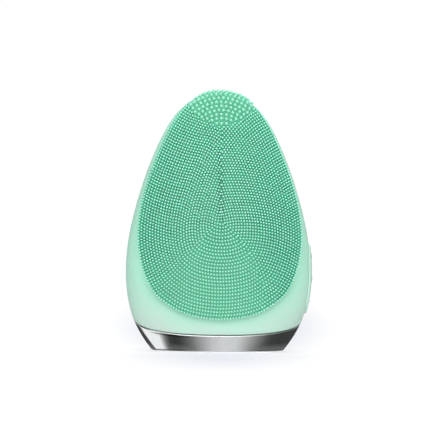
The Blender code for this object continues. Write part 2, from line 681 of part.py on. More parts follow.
def build_stator():
    """Can, magnet, bushing, bottom end bell and rubber sleeve."""
    z0, z1 = MOTOR_Z0, MOTOR_Z1
    can = [(MOTOR_R - CAN_T, z0), (MOTOR_R, z0), (MOTOR_R, z1), (CAN_HOLE_R, z1),
           (CAN_HOLE_R, z1 - CAN_END_T), (MOTOR_R - CAN_T, z1 - CAN_END_T)]
    finish(turned("motor_can", can, MOTOR_AXIS, 28), "motor_steel")
    finish(tube("motor_magnet", MAGNET_BORE_R, MOTOR_R - CAN_T - CONTACT_GAP,
                z0 + CORE_INSET, z1 - CORE_INSET, MOTOR_AXIS, 24), "magnet_dark")
    finish(tube("motor_bushing", SHAFT_BORE_R, BUSHING_R, z1 - 1.6, z1 + 0.6, MOTOR_AXIS, 24),
           "bronze")
    bell_outline = [(0.0, z0 - 2.0), (BELL_R, z0 - 2.0), (BELL_R, z0 - CONTACT_GAP),
                    (BELL_SPIGOT_R, z0 - CONTACT_GAP), (BELL_SPIGOT_R, z0 + 1.2), (0.0, z0 + 1.2)]
    bell = turned("motor_end_bell", bell_outline, MOTOR_AXIS, 24)
    bore_on_axis(bell, SHAFT_R + 0.08, z0 - 0.6, z0 + 5.0)
    finish(bell, "bell_nylon")
    finish(tube("motor_sleeve", MOTOR_R + 0.08, MOTOR_R + 0.65, SLEEVE_Z0, SLEEVE_Z1,
                MOTOR_AXIS, 28), "seal_rubber")


def build_rotor():
    """Shaft, three-lobed armature and eccentric weight, heavy towards the front."""
    finish(tube("motor_shaft", 0.0, SHAFT_R, MOTOR_Z0 - 0.4, SHAFT_END_Z, MOTOR_AXIS, 16),
           "motor_steel")
    outline = [around_motor(radius, 2 * math.pi * k / 3 + angle)
               for k in range(3) for angle, radius in ARMATURE_THIRD]
    armature = prism("motor_armature", outline, MOTOR_Z0 + 3.5, MOTOR_Z1 - 3.5, "Z")
    bore_on_axis(armature, SHAFT_BORE_R, MOTOR_Z0, MOTOR_Z1)
    finish(armature, "copper", 30)

    outline = [around_motor(WEIGHT_R, math.pi * (1.06 + 0.88 * i / 14)) for i in range(15)]
    outline += [around_motor(WEIGHT_HUB_R, math.pi * i / 8) for i in range(9)]
    weight = prism("eccentric_weight", outline, WEIGHT_Z0, WEIGHT_Z1, "Z")
    bore_on_axis(weight, SHAFT_BORE_R, MOTOR_Z1, MOTOR_Z1 + 10)
    finish(weight, "tungsten", 30)


def build_clamp():
    """Strap over the back of the sleeve, with an ear on each side."""
    clamp = box("motor_clamp", (-CLAMP_HALF_W, MOTOR_Y + 0.1, CLAMP_Z0),
                (CLAMP_HALF_W, CLAMP_BACK_Y, CLAMP_Z1))
    for x0, x1 in ((-20, -CLAMP_ARCH_HALF_W), (CLAMP_ARCH_HALF_W, 20)):
        subtract(clamp, box(TOOL, (x0, CLAMP_EAR_Y, CLAMP_TOOL_Z0), (x1, 20.0, CLAMP_TOOL_Z1)))
    bore_on_axis(clamp, MOTOR_R + 0.72, CLAMP_TOOL_Z0, CLAMP_TOOL_Z1, 28)
    for x in CLAMP_SCREW_XS:
        drill(clamp, CLEAR_R, (x, -5, CLAMP_SCREW_Z), (x, 20, CLAMP_SCREW_Z))
    finish(clamp, "white_abs")


# ---------------------------------------------------------------- screws
def add_screws(prefix, length, seats, direction):
    """Pan head screws sharing one mesh. Seats are under the heads; shanks point in direction."""
    profile = [(0.0, -length), (SCREW_R, -length + 0.9), (SCREW_R, 0.0), (SCREW_HEAD_R, 0.0),
               (SCREW_HEAD_R, 0.8), (1.25, SCREW_HEAD_H), (0.8, SCREW_HEAD_H), (0.0, 0.45)]
    pattern = turned(f"screw_{length}", profile, (0, 0, 0), 8)
    finish(pattern, "screw_steel", 30)
    turn = (-Vector(direction)).to_track_quat("Z", "Y").to_euler()
    for i, seat in enumerate(seats, 1):
        obj = bpy.data.objects.new(f"{prefix}_{i}", pattern.data)
        bpy.context.scene.collection.objects.link(obj)
        obj.rotation_euler = turn
        obj.location = Vector(seat) * MM
    bpy.data.objects.remove(pattern, do_unlink=True)


def build_screws():
    forwards, upwards = (0, -1, 0), (0, 0, 1)
    seats = [(x, SHELL_SEAT_Y + CONTACT_GAP, z) for x, z in SHELL_SCREWS]
    add_screws("shell_screw", 10.0, seats, forwards)
    seats = [(x, y, CUP_SEAT_Z - CONTACT_GAP) for x, y in BASE_SCREWS]
    add_screws("base_screw", 8.0, seats, upwards)
    seats = [(x, BOARD_Y1 + CONTACT_GAP, z) for x, z in BOARD_SCREWS]
    add_screws("board_screw", 4.5, seats, forwards)
    seats = [(x, CLAMP_EAR_Y + CONTACT_GAP, CLAMP_SCREW_Z) for x in CLAMP_SCREW_XS]
    add_screws("clamp_screw", 6.0, seats, forwards)


# ---------------------------------------------------------------- wiring
LEAD_R, COIL_LEAD_R = 0.45, 0.35
# name, material, path points (x, y, z)
LEADS = [
    ("motor_lead_red", "wire_red",
     [(1.6, MOTOR_Y, 55.3), (3.2, -2.6, 53.2), (6.6, -5.0, 51.2), (7.2, -6.6, 49.4)]),
    ("motor_lead_black", "wire_black",
     [(4.2, MOTOR_Y, 55.3), (5.8, -2.2, 53.4), (9.0, -4.6, 51.4), (9.8, -6.6, 49.4)]),
    ("battery_lead_red", "wire_red",
     [(-8.6, 8.2, 51.7), (-8.8, 6.0, 54.0), (-9.3, -3.4, 52.6), (-9.2, -6.6, 49.5)]),
    ("battery_lead_black", "wire_black",
     [(-11.6, 8.2, 51.7), (-12.0, 6.0, 54.0), (-11.8, -3.4, 52.6), (-11.6, -6.6, 49.5)]),
]
# path of the +X coil lead; the other mirrors it in x
COIL_LEAD = [(1.4, 11.7, 3.1), (1.4, 11.7, 5.4), (1.6, 11.7, 8.2),
             (2.4, 3.0, 12.0), (3.0, -5.6, 15.6), (3.0, -7.6, 19.0)]
# closed (x, y) outline of the ribbon between the two boards
RIBBON_OUTLINE = [
    (26.75, -3.2), (26.75, -4.2), (24.0, -5.6), (20.0, -6.9), (14.5, -7.75),
    (14.5, -7.98), (20.1, -7.1), (24.1, -5.8), (26.98, -4.35), (26.98, -3.2)]
RIBBON_Z0, RIBBON_Z1 = 33.0, 39.0


def wire(name, points, radius, material):
    """Round wire as a bevelled curve through the points."""
    curve = bpy.data.curves.new(name, "CURVE")
    curve.dimensions = "3D"
    curve.resolution_u = 3
    curve.bevel_depth = radius * MM
    curve.bevel_resolution = 1
    curve.use_fill_caps = True
    spline = curve.splines.new("BEZIER")
    spline.bezier_points.add(len(points) - 1)
    for knot, point in zip(spline.bezier_points, points):
        knot.co = Vector(point) * MM
        knot.handle_left_type = knot.handle_right_type = "AUTO"
    obj = bpy.data.objects.new(name, curve)
    bpy.context.scene.collection.objects.link(obj)
    finish(obj, material, FLAT)


def build_wiring():
    for name, material, points in LEADS:
        wire(name, points, LEAD_R, material)
    for suffix, side in (("a", -1), ("b", 1)):
        points = [(side * x, y, z) for x, y, z in COIL_LEAD]
        wire("coil_lead_" + suffix, points, COIL_LEAD_R, "copper")
    ribbon = prism("switch_ribbon", RIBBON_OUTLINE, RIBBON_Z0, RIBBON_Z1, "Z")
    finish(ribbon, "ribbon_film", FLAT)


def main():
    for old in list(bpy.data.objects):
        bpy.data.objects.remove(old, do_unlink=True)
    build_skin()
    build_pad()
    build_panel()
    for key, z in KEYS.items():
        build_key(key, z)
    build_switch_board()
    build_front_shell()
    build_back_shell()
    build_cup()
    build_foot()
    build_seal()
    build_charging()
    build_main_board()
    build_battery()
    build_stator()
    build_rotor()
    build_clamp()
    build_screws()
    build_wiring()


main()
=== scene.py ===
"""Looks of a silicone facial cleansing brush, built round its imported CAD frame.

The brush stands upright (+Z) on a plated base. -Y is the front, with the bristle pad, +Y is the
back with low ripples, and the keys are on the +X flank. Shape functions work in millimetres of
the CAD frame, which become metres when a mesh is made. Materials and studio are in metres.
"""

import json
import math
from functools import cached_property

import bmesh
import bpy
import numpy as np
from mathutils import Matrix, Vector


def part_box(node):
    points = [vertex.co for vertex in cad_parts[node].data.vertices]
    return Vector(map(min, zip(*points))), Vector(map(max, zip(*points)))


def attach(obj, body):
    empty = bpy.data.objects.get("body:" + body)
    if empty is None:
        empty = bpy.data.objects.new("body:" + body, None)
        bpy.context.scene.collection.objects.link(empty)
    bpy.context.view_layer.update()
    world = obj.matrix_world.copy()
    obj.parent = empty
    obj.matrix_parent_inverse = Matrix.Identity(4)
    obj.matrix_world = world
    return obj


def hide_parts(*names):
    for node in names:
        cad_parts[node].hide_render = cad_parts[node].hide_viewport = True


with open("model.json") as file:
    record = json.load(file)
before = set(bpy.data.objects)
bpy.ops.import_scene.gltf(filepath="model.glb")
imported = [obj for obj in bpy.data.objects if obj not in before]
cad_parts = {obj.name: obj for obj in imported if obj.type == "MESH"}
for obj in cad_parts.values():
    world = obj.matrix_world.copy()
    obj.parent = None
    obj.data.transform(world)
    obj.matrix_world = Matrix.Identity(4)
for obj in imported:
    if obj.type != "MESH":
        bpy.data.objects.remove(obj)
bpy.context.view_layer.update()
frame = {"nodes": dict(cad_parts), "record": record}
MILLI = 0.001  # metres in a millimetre


def mm_box(node):
    low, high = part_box(node)
    return np.array(low) / MILLI, np.array(high) / MILLI


def mm_centre(node):
    low, high = mm_box(node)
    return (low + high) / 2


# ------------------------------------------------------------------ driving sizes, mm
PAD_RISE = 1.6
TOP_Z = float(mm_box("brush_pad")[1][2]) - PAD_RISE
BASE_Z = float(mm_box("base_cup")[0][2])
PANEL_LOW, PANEL_HIGH = mm_box("button_panel")
PANEL_RADIUS = float(PANEL_HIGH[1] - PANEL_LOW[1]) / 2
PANEL_MID = float(PANEL_HIGH[2] + PANEL_LOW[2]) / 2
PANEL_STRAIGHT = float(PANEL_HIGH[2] - PANEL_LOW[2]) / 2 - PANEL_RADIUS  # half the straight part
KEY_Z = {key: float(mm_centre("button_" + key)[2]) for key in ("plus", "power", "minus")}

# Outer form: (height, half width or depth)
WIDTH_STATIONS = [
    (-3.0, 23.2), (0.0, 25.95), (3.8, 28.88), (11.0, 33.05), (15.0, 34.6), (20.0, 35.9),
    (31.0, 37.0), (45.0, 36.0), (59.0, 32.9), (73.4, 28.3), (87.8, 22.0), (97.4, 15.1),
    (TOP_Z, 0.0)]
FRONT_STATIONS = [
    (-3.0, 13.6), (0.0, 15.8), (3.8, 17.6), (11.0, 19.4), (20.0, 20.4), (31.0, 20.8),
    (45.0, 20.1), (60.0, 18.3), (75.0, 15.1), (88.0, 10.7), (97.4, 6.1), (100.4, 4.45),
    (102.0, 3.15), (TOP_Z, 0.0)]
BACK_STATIONS = [
    (-3.0, 13.6), (0.0, 15.8), (3.8, 17.7), (11.0, 19.7), (20.0, 20.9), (31.0, 21.5),
    (45.0, 21.1), (60.0, 19.2), (75.0, 15.8), (88.0, 11.1), (97.4, 6.3), (100.4, 4.5),
    (102.0, 3.15), (TOP_Z, 0.0)]
# Pad outline in front view: (height, half width)
PAD_STATIONS = [
    (13.05, 0.0), (15.2, 13.8), (17.0, 17.9), (19.0, 21.0), (21.4, 24.3), (26.2, 28.1),
    (31.0, 30.3), (38.2, 32.2), (45.4, 33.0), (52.6, 32.6), (59.8, 31.4), (69.4, 28.7),
    (79.0, 25.1), (88.6, 20.8), (95.8, 16.4), (106.5, 0.0)]
FRONT_POWER, BACK_POWER = 2.45, 2.3  # superellipse powers of the level sections
INNER_Z = 60.0  # height of the inner point from which rays are cast
RIM_Z, RIM_SLOPE = 12.4, 0.288  # plane between skin and base, rising towards the back
COLS = 288  # columns round the skin, the cup and the foot


# ------------------------------------------------------------------ curves and searches
def spline(stations):
    """Natural cubic spline of the squared values: returns its value and slope functions."""
    x = np.array([s[0] for s in stations], float)
    y = np.array([s[1] ** 2 for s in stations], float)
    count, step = len(x), np.diff(x)
    system, right = np.zeros((count, count)), np.zeros(count)
    system[0, 0] = system[-1, -1] = 1.0
    for i in range(1, count - 1):
        system[i, i - 1:i + 2] = step[i - 1], 2 * (step[i - 1] + step[i]), step[i]
        right[i] = 6 * ((y[i + 1] - y[i]) / step[i] - (y[i] - y[i - 1]) / step[i - 1])
    bend = np.linalg.solve(system, right)
    lower = y[:-1] / step - bend[:-1] * step / 6
    upper = y[1:] / step - bend[1:] * step / 6

    def piece(z):
        z = np.asarray(z, float)
        i = np.clip(np.searchsorted(x, z) - 1, 0, count - 2)
        return i, x[i + 1] - z, z - x[i]

    def value(z):
        i, after, before = piece(z)
        cubic = (bend[i] * after ** 3 + bend[i + 1] * before ** 3) / (6 * step[i])
        return cubic + lower[i] * after + upper[i] * before

    def slope(z):
        i, after, before = piece(z)
        square = (-bend[i] * after ** 2 + bend[i + 1] * before ** 2) / (2 * step[i])
        return square - lower[i] + upper[i]

    return value, slope


def bisect(passes, high, steps):
    """Largest distances, from 0 up to high, that pass the test."""
    low = np.zeros(len(high))
    for _ in range(steps):
        middle = (low + high) / 2
        ok = passes(middle)
        low, high = np.where(ok, middle, low), np.where(ok, high, middle)
    return low


def smoothstep(value):
    value = np.clip(value, 0, 1)
    return value * value * (3 - 2 * value)


def arc_length(curve):
    steps = np.linalg.norm(np.diff(curve, axis=0), axis=1)
    return np.concatenate([[0], np.cumsum(steps)])


def points_at(curve, places):
    """Points of a plane curve at distances along it."""
    length = arc_length(curve)
    return np.stack([np.interp(places, length, curve[:, k]) for k in (0, 1)], 1)


def resample(ring, count, inset=0.0):
    """Even steps round a closed curve (anticlockwise), then moved inwards."""
    closed = np.vstack([ring, ring[:1]])
    out = points_at(closed, np.linspace(0, arc_length(closed)[-1], count, endpoint=False))
    if inset:
        tangent = np.roll(out, -1, 0) - np.roll(out, 1, 0)
        tangent /= np.linalg.norm(tangent, axis=1, keepdims=True)
        out = out + np.stack([-tangent[:, 1], tangent[:, 0]], 1) * inset
    return out


def distance_to(targets, points):
    """Distance from each point to the nearest target, in blocks to save memory."""
    out = np.empty(len(points))
    for i in range(0, len(points), 4000):
        gap = points[i:i + 4000, None, :] - targets[None, :, :]
        out[i:i + 4000] = np.sqrt((gap ** 2).sum(-1).min(1))
    return out


def inside(curve, points):
    """Whether plane points lie inside a closed curve, by counting crossings."""
    x, z = points[:, 0], points[:, 1]
    hit = np.zeros(len(points), bool)
    for (x0, z0), (x1, z1) in zip(curve, np.roll(curve, -1, 0)):
        crossed = (z0 > z) != (z1 > z)
        if crossed.any():
            hit ^= crossed & (x < (x1 - x0) * (z - z0) / (z1 - z0) + x0)
    return hit


# ------------------------------------------------------------------ the outer form
WIDTH_SQ, WIDTH_SLOPE = spline(WIDTH_STATIONS)
FRONT_SQ, FRONT_SLOPE = spline(FRONT_STATIONS)
BACK_SQ, BACK_SLOPE = spline(BACK_STATIONS)
PAD_SQ = spline(PAD_STATIONS)[0]


def half_width(z):
    return np.sqrt(np.maximum(WIDTH_SQ(z), 1e-9))


def half_depth(z, back):
    return np.sqrt(np.maximum(np.where(back, BACK_SQ(z), FRONT_SQ(z)), 1e-9))


def section_power(back):
    return np.where(back, BACK_POWER, FRONT_POWER)


def form_normal(across, deep, sign_x, sign_y, z, back):
    """Unit normals from shares of the half width and half depth."""
    power = section_power(back)
    width_sq = np.maximum(WIDTH_SQ(z), 1e-6)
    depth_sq = np.maximum(np.where(back, BACK_SQ(z), FRONT_SQ(z)), 1e-6)
    depth_slope = np.where(back, BACK_SLOPE(z), FRONT_SLOPE(z))
    normal = np.stack([
        sign_x * across ** (power - 1) / np.sqrt(width_sq),
        sign_y * deep ** (power - 1) / np.sqrt(depth_sq),
        -(across ** power * WIDTH_SLOPE(z) / (2 * width_sq)
          + deep ** power * depth_slope / (2 * depth_sq))], -1)
    return normal / np.linalg.norm(normal, axis=-1, keepdims=True)


def surf(z, angles):
    """Points and normals at heights and angles (0 is +X, -90 degrees the front)."""
    z, angles = np.broadcast_arrays(np.asarray(z, float), np.asarray(angles, float))
    cos, sin = np.cos(angles), np.sin(angles)
    back = sin >= 0
    power = section_power(back)
    across, deep = np.abs(cos) ** (2 / power), np.abs(sin) ** (2 / power)
    x = half_width(z) * across * np.sign(cos)
    y = half_depth(z, back) * deep * np.sign(sin)
    normals = form_normal(across, deep, np.sign(cos), np.sign(sin), z, back)
    return np.stack([x, y, z], -1), normals


def front(view):
    """Points and normals of the front seen at (x, z)."""
    x, z = view[:, 0], np.minimum(view[:, 1], TOP_Z - 1e-4)
    back = np.zeros(x.shape, bool)
    width = half_width(z)
    across = np.minimum(np.abs(x) / width, 1.0)
    deep = np.maximum(1 - across ** FRONT_POWER, 0.0) ** (1 / FRONT_POWER)
    points = np.stack([np.sign(x) * across * width, -half_depth(z, back) * deep, z], -1)
    return points, form_normal(across, deep, np.sign(x), -np.ones_like(x), z, back)


def side(view):
    """Points and normals of the +X flank seen at (y, z)."""
    y, z = view[:, 0], view[:, 1]
    back = y >= 0
    power = section_power(back)
    deep = np.minimum(np.abs(y) / half_depth(z, back), 1.0)
    across = np.maximum(1 - deep ** power, 0.0) ** (1 / power)
    points = np.stack([half_width(z) * across, y, z], -1)
    return points, form_normal(across, deep, np.ones_like(y), np.sign(y), z, back)


def cast(through):
    """Where rays from the inner point through given points leave the form, with normals."""
    centre = np.array([0.0, 0.0, INNER_Z])
    ray = through - centre
    ray = ray / np.linalg.norm(ray, axis=-1, keepdims=True)

    def within(reach):
        x, y, z = (centre + ray * reach[:, None]).T
        level = np.clip(z, -2.9, TOP_Z - 1e-9)
        back = y >= 0
        power = section_power(back)
        across = (np.abs(x) / half_width(level)) ** power
        deep = (np.abs(y) / half_depth(level, back)) ** power
        return (z < TOP_Z) & (across + deep < 1)

    points = centre + ray * bisect(within, np.full(len(through), 90.0), 44)[:, None]
    x, y, z = points.T
    back = y >= 0
    across = np.minimum(np.abs(x) / half_width(z), 1.0)
    deep = np.minimum(np.abs(y) / half_depth(z, back), 1.0)
    return points, form_normal(across, deep, np.sign(x), np.sign(y), z, back)


def even_columns(count):
    """Angles that split the section at z = 40 into even steps of arc length, from +X."""
    angles = np.linspace(0, 2 * math.pi, 20001)
    length = arc_length(surf(40.0, angles)[0])
    return np.interp(np.linspace(0, length[-1], count, endpoint=False), length, angles)


def rim_height(angles, shift):
    """Height where the tilted rim plane, moved up by shift, meets the form."""
    z = np.full(np.shape(angles), RIM_Z + shift, float)
    for _ in range(30):
        points = surf(z, angles)[0]
        z = 0.5 * z + 0.5 * (RIM_Z + shift + RIM_SLOPE * points[..., 1])
    return z


ANGLES = even_columns(COLS)


# ------------------------------------------------------------------ mesh helpers
def add_mesh(name, verts, faces, attrs=None):
    """An object from millimetre vertices. attrs: point values, arrays or one number."""
    mesh = bpy.data.meshes.new(name)
    mesh.from_pydata((np.asarray(verts, float) * MILLI).tolist(), [], faces)
    mesh.update()
    for key, values in (attrs or {}).items():
        layer = mesh.attributes.new(key, "FLOAT", "POINT")
        layer.data.foreach_set("value", np.full(len(verts), values, np.float32))
    return link_mesh(name, mesh)


def link_mesh(name, mesh):
    obj = bpy.data.objects.new(name, mesh)
    bpy.context.scene.collection.objects.link(obj)
    return obj


def smooth(obj, sharp_angle=None):
    obj.data.shade_smooth()
    if sharp_angle:
        obj.data.set_sharp_from_angle(angle=math.radians(sharp_angle))


def new_object(name, verts, faces, body, slot, sharp_angle=None, attrs=None):
    """A piece that rides on a CAD body."""
    obj = add_mesh(name, verts, faces, attrs)
    smooth(obj, sharp_angle)
    obj.data.materials.append(MATERIALS[slot])
    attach(obj, body)
    return obj


def grid_faces(rows, cols, wrap=True, base=0, flip=False):
    out = []
    for i in range(rows - 1):
        row = base + i * cols
        for j in range(cols if wrap else cols - 1):
            k = (j + 1) % cols
            face = (row + j, row + k, row + cols + k, row + cols + j)
            out.append(face[::-1] if flip else face)
    return out


def capped_faces(rows, cols):
    """Grid round a closed column of rings, with a face over each end."""
    last = (rows - 1) * cols
    caps = [tuple(range(cols))[::-1], tuple(last + j for j in range(cols))]
    return grid_faces(rows, cols) + caps


def fan(centre, ring, flip=False):
    out = []
    for j in range(len(ring)):
        face = (centre, ring[j], ring[(j + 1) % len(ring)])
        out.append(face[::-1] if flip else face)
    return out


def fix_normals(obj, drop_loose=False):
    """Turns all faces outwards, after dropping vertices without a face if asked."""
    bm = bmesh.new()
    bm.from_mesh(obj.data)
    if drop_loose:
        loose = [vert for vert in bm.verts if not vert.link_faces]
        bmesh.ops.delete(bm, geom=loose, context="VERTS")
    bmesh.ops.recalc_face_normals(bm, faces=bm.faces)
    if bm.calc_volume(signed=True) < 0:
        bmesh.ops.reverse_faces(bm, faces=bm.faces)
    bm.to_mesh(obj.data)
    bm.free()
    return obj


def cylinders(name, items, sides=40):
    """One loose mesh of closed cylinders: items are (start, end, radius)."""
    bm = bmesh.new()
    for start, end, radius in items:
        start, end = Vector(start) * MILLI, Vector(end) * MILLI
        turn = (end - start).to_track_quat("Z", "Y").to_matrix().to_4x4()
        bmesh.ops.create_cone(
            bm, cap_ends=True, segments=sides, radius1=radius * MILLI, radius2=radius * MILLI,
            depth=(end - start).length, matrix=Matrix.Translation((start + end) / 2) @ turn)
    mesh = bpy.data.meshes.new(name)
    bm.to_mesh(mesh)
    bm.free()
    return link_mesh(name, mesh)


def boolean(target, cutter, operation):
    """Applies a boolean to the target and removes the cutter."""
    modifier = target.modifiers.new("cut", "BOOLEAN")
    modifier.operation, modifier.object, modifier.solver = operation, cutter, "EXACT"
    bpy.context.view_layer.update()
    graph = bpy.context.evaluated_depsgraph_get()
    mesh = bpy.data.meshes.new_from_object(target.evaluated_get(graph), depsgraph=graph)
    target.modifiers.clear()
    target.data = mesh
    bpy.data.objects.remove(cutter, do_unlink=True)


def round_lip(radius, height, steps):
    """Quarter-round lip as (inset, height) pairs, from the outline up to its top."""
    turns = [math.pi / 2 * i / steps for i in range(steps + 1)]
    return [(radius - radius * math.cos(turn), height - radius + radius * math.sin(turn))
            for turn in turns]


def slab(name, outline, spine, place, lip, rings, underside, body, slot, power, attrs=None):
    """Closed slab over an outline, following the form.

    outline: edge points, in view coordinates or space. spine: matching inner points.
    place: gives points and normals on the form. lip: (inset, height) pairs from the lower edge
    up. underside: heights of the lower face as a function of inset. power: spacing of the rings.
    """
    count = len(outline)
    way = spine - outline
    unit = way / np.maximum(np.linalg.norm(way, axis=1, keepdims=True), 1e-6)
    layers = [(outline + unit * inset, height) for inset, height in lip]
    start, lip_top = layers[-1]
    for i in range(1, rings):
        layers.append((start + (spine - start) * (i / rings) ** power, lip_top))
    top, low = [], []
    for view, height in layers:
        points, normals = place(view)
        inset = np.linalg.norm(view - outline, axis=1)
        top.append(points + normals * height)
        low.append(points + normals * underside(inset)[:, None])
    rows = len(layers)
    under = rows * count
    last = (rows - 1) * count
    faces = grid_faces(rows, count) + grid_faces(rows, count, base=under, flip=True)
    faces.append(tuple(last + j for j in range(count)))
    faces.append(tuple(under + last + j for j in range(count))[::-1])
    faces += [(j, under + j, under + (j + 1) % count, (j + 1) % count) for j in range(count)]
    return fix_normals(new_object(name, np.vstack(top + low), faces, body, slot, None, attrs))


# ------------------------------------------------------------------ material helpers
def srgb(*levels):
    """Linear colour from 0-255 levels."""
    return tuple(c / 12.92 if c <= 0.04045 else ((c + 0.055) / 1.055) ** 2.4
                 for c in (level / 255 for level in levels))


def scaled(colour, factor):
    return tuple(min(1.0, v * factor) for v in colour)


def rgba(colour):
    """Adds alpha to a plain colour; a socket passes through."""
    return (*colour, 1.0) if isinstance(colour, tuple) else colour


class Nodes:
    """Helper round the node tree of a material or world. Values may be numbers or sockets."""

    def __init__(self, owner):
        self.owner = owner
        owner.use_nodes = True
        self.tree = owner.node_tree

    @cached_property
    def bsdf(self):
        return self.tree.nodes["Principled BSDF"]

    @cached_property
    def coord(self):
        return self.add("ShaderNodeTexCoord").outputs["Object"]

    def feed(self, value, socket):
        if isinstance(value, bpy.types.NodeSocket):
            self.tree.links.new(value, socket)
        else:
            socket.default_value = value

    def add(self, kind, inputs=None, **settings):
        node = self.tree.nodes.new(kind)
        for key, value in settings.items():
            setattr(node, key, value)
        for key, value in (inputs or {}).items():
            self.feed(value, node.inputs[key])
        return node

    def set(self, **values):
        """Inputs of the Principled BSDF, with _ for a space."""
        for key, value in values.items():
            self.feed(value, self.bsdf.inputs[key.replace("_", " ")])

    def surface(self, shader):
        self.feed(shader, self.tree.nodes["Material Output"].inputs["Surface"])

    def noise(self, scale, detail=3.0, rough=0.55, stretch=None):
        """Noise with scale in cells per metre."""
        vector = self.coord
        if stretch:
            mapping = self.add("ShaderNodeMapping", {"Vector": vector, "Scale": stretch})
            vector = mapping.outputs["Vector"]
        return self.add("ShaderNodeTexNoise", {
            "Scale": scale, "Detail": detail, "Roughness": rough,
            "Vector": vector}).outputs["Fac"]

    def axes(self, vector=None):
        return self.add("ShaderNodeSeparateXYZ", {0: vector or self.coord}).outputs

    def ramp(self, fac, stops):
        node = self.add("ShaderNodeValToRGB", {"Fac": fac})
        elements = node.color_ramp.elements
        while len(elements) < len(stops):
            elements.new(0.5)
        for element, (position, colour) in zip(elements, stops):
            element.position = position
            element.color = rgba(colour)
        return node.outputs["Color"]

    def spread(self, fac, to=(0.0, 1.0), over=(0.3, 0.7)):
        """Maps the range over to the range to."""
        return self.add("ShaderNodeMapRange", {
            "From Min": over[0], "From Max": over[1], "To Min": to[0], "To Max": to[1],
            "Value": fac}).outputs["Result"]

    def mix(self, fac, first, second):
        inputs = {0: fac, 6: rgba(first), 7: rgba(second)}
        return self.add("ShaderNodeMix", inputs, data_type="RGBA").outputs[2]

    def mix_shader(self, fac, first, second):
        return self.add("ShaderNodeMixShader", {0: fac, 1: first, 2: second}).outputs[0]

    def math(self, operation, first, second=0.0, clamp=False):
        return self.add("ShaderNodeMath", {0: first, 1: second},
                        operation=operation, use_clamp=clamp).outputs[0]

    def times(self, first, second, clamp=False):
        return self.math("MULTIPLY", first, second, clamp)

    def plus(self, first, second):
        return self.math("ADD", first, second)

    def minus(self, first, second):
        return self.math("SUBTRACT", first, second)

    def attr(self, name):
        return self.add("ShaderNodeAttribute", attribute_name=name).outputs["Fac"]

    def bump(self, height, strength, distance):
        node = self.add("ShaderNodeBump", {
            "Strength": strength, "Distance": distance, "Height": height})
        self.set(Normal=node.outputs["Normal"])


def material(name):
    return Nodes(bpy.data.materials.new(name))


# ------------------------------------------------------------------ materials
def silicone(name, colour, low, glow=None, rough=(0.36, 0.5)):
    """Soft silicone. low, glow: colours near the base and the pad's edge, both painted light."""
    mat = material(name)
    # painted light: the colour turns to low towards the base, a sheen of floor light
    down = mat.spread(mat.axes()["Z"], to=(1.0, 0.0), over=(0.011, 0.030))
    base = mat.mix(down, colour, low)
    cloud = mat.spread(mat.noise(scale=55.0, detail=2.0))
    base = mat.mix(mat.times(cloud, 0.5), base, scaled(colour, 0.955))
    if glow:
        # painted light and shade: a glow near the pad's edge, and a painted shadow (shade) under
        # its lower edge
        base = mat.mix(mat.times(mat.attr("glow"), 0.9, clamp=True), base, glow)
        shade = mat.times(mat.attr("shade"), 0.62, clamp=True)
        base = mat.mix(shade, base, scaled(glow, 0.55))
    # painted shade: darker where the surface turns away from the view
    facing = mat.add("ShaderNodeLayerWeight", {"Blend": 0.35}).outputs["Facing"]
    edge = mat.times(mat.math("POWER", facing, 2.2), 0.30, clamp=True)
    base = mat.mix(edge, base, scaled(colour, 0.62))
    fine = mat.noise(scale=9000.0, detail=2.0, rough=0.7)
    grain = mat.plus(mat.times(fine, 0.6), mat.noise(scale=1500.0, detail=2.0))
    mat.bump(grain, strength=0.10, distance=0.00006)
    mat.set(Base_Color=base, Roughness=mat.spread(mat.noise(scale=420.0), to=rough),
            Subsurface_Weight=0.3, Subsurface_Radius=(0.9, 1.4, 1.1), Subsurface_Scale=0.0011,
            IOR=1.41, Specular_IOR_Level=0.38)
    return mat.owner


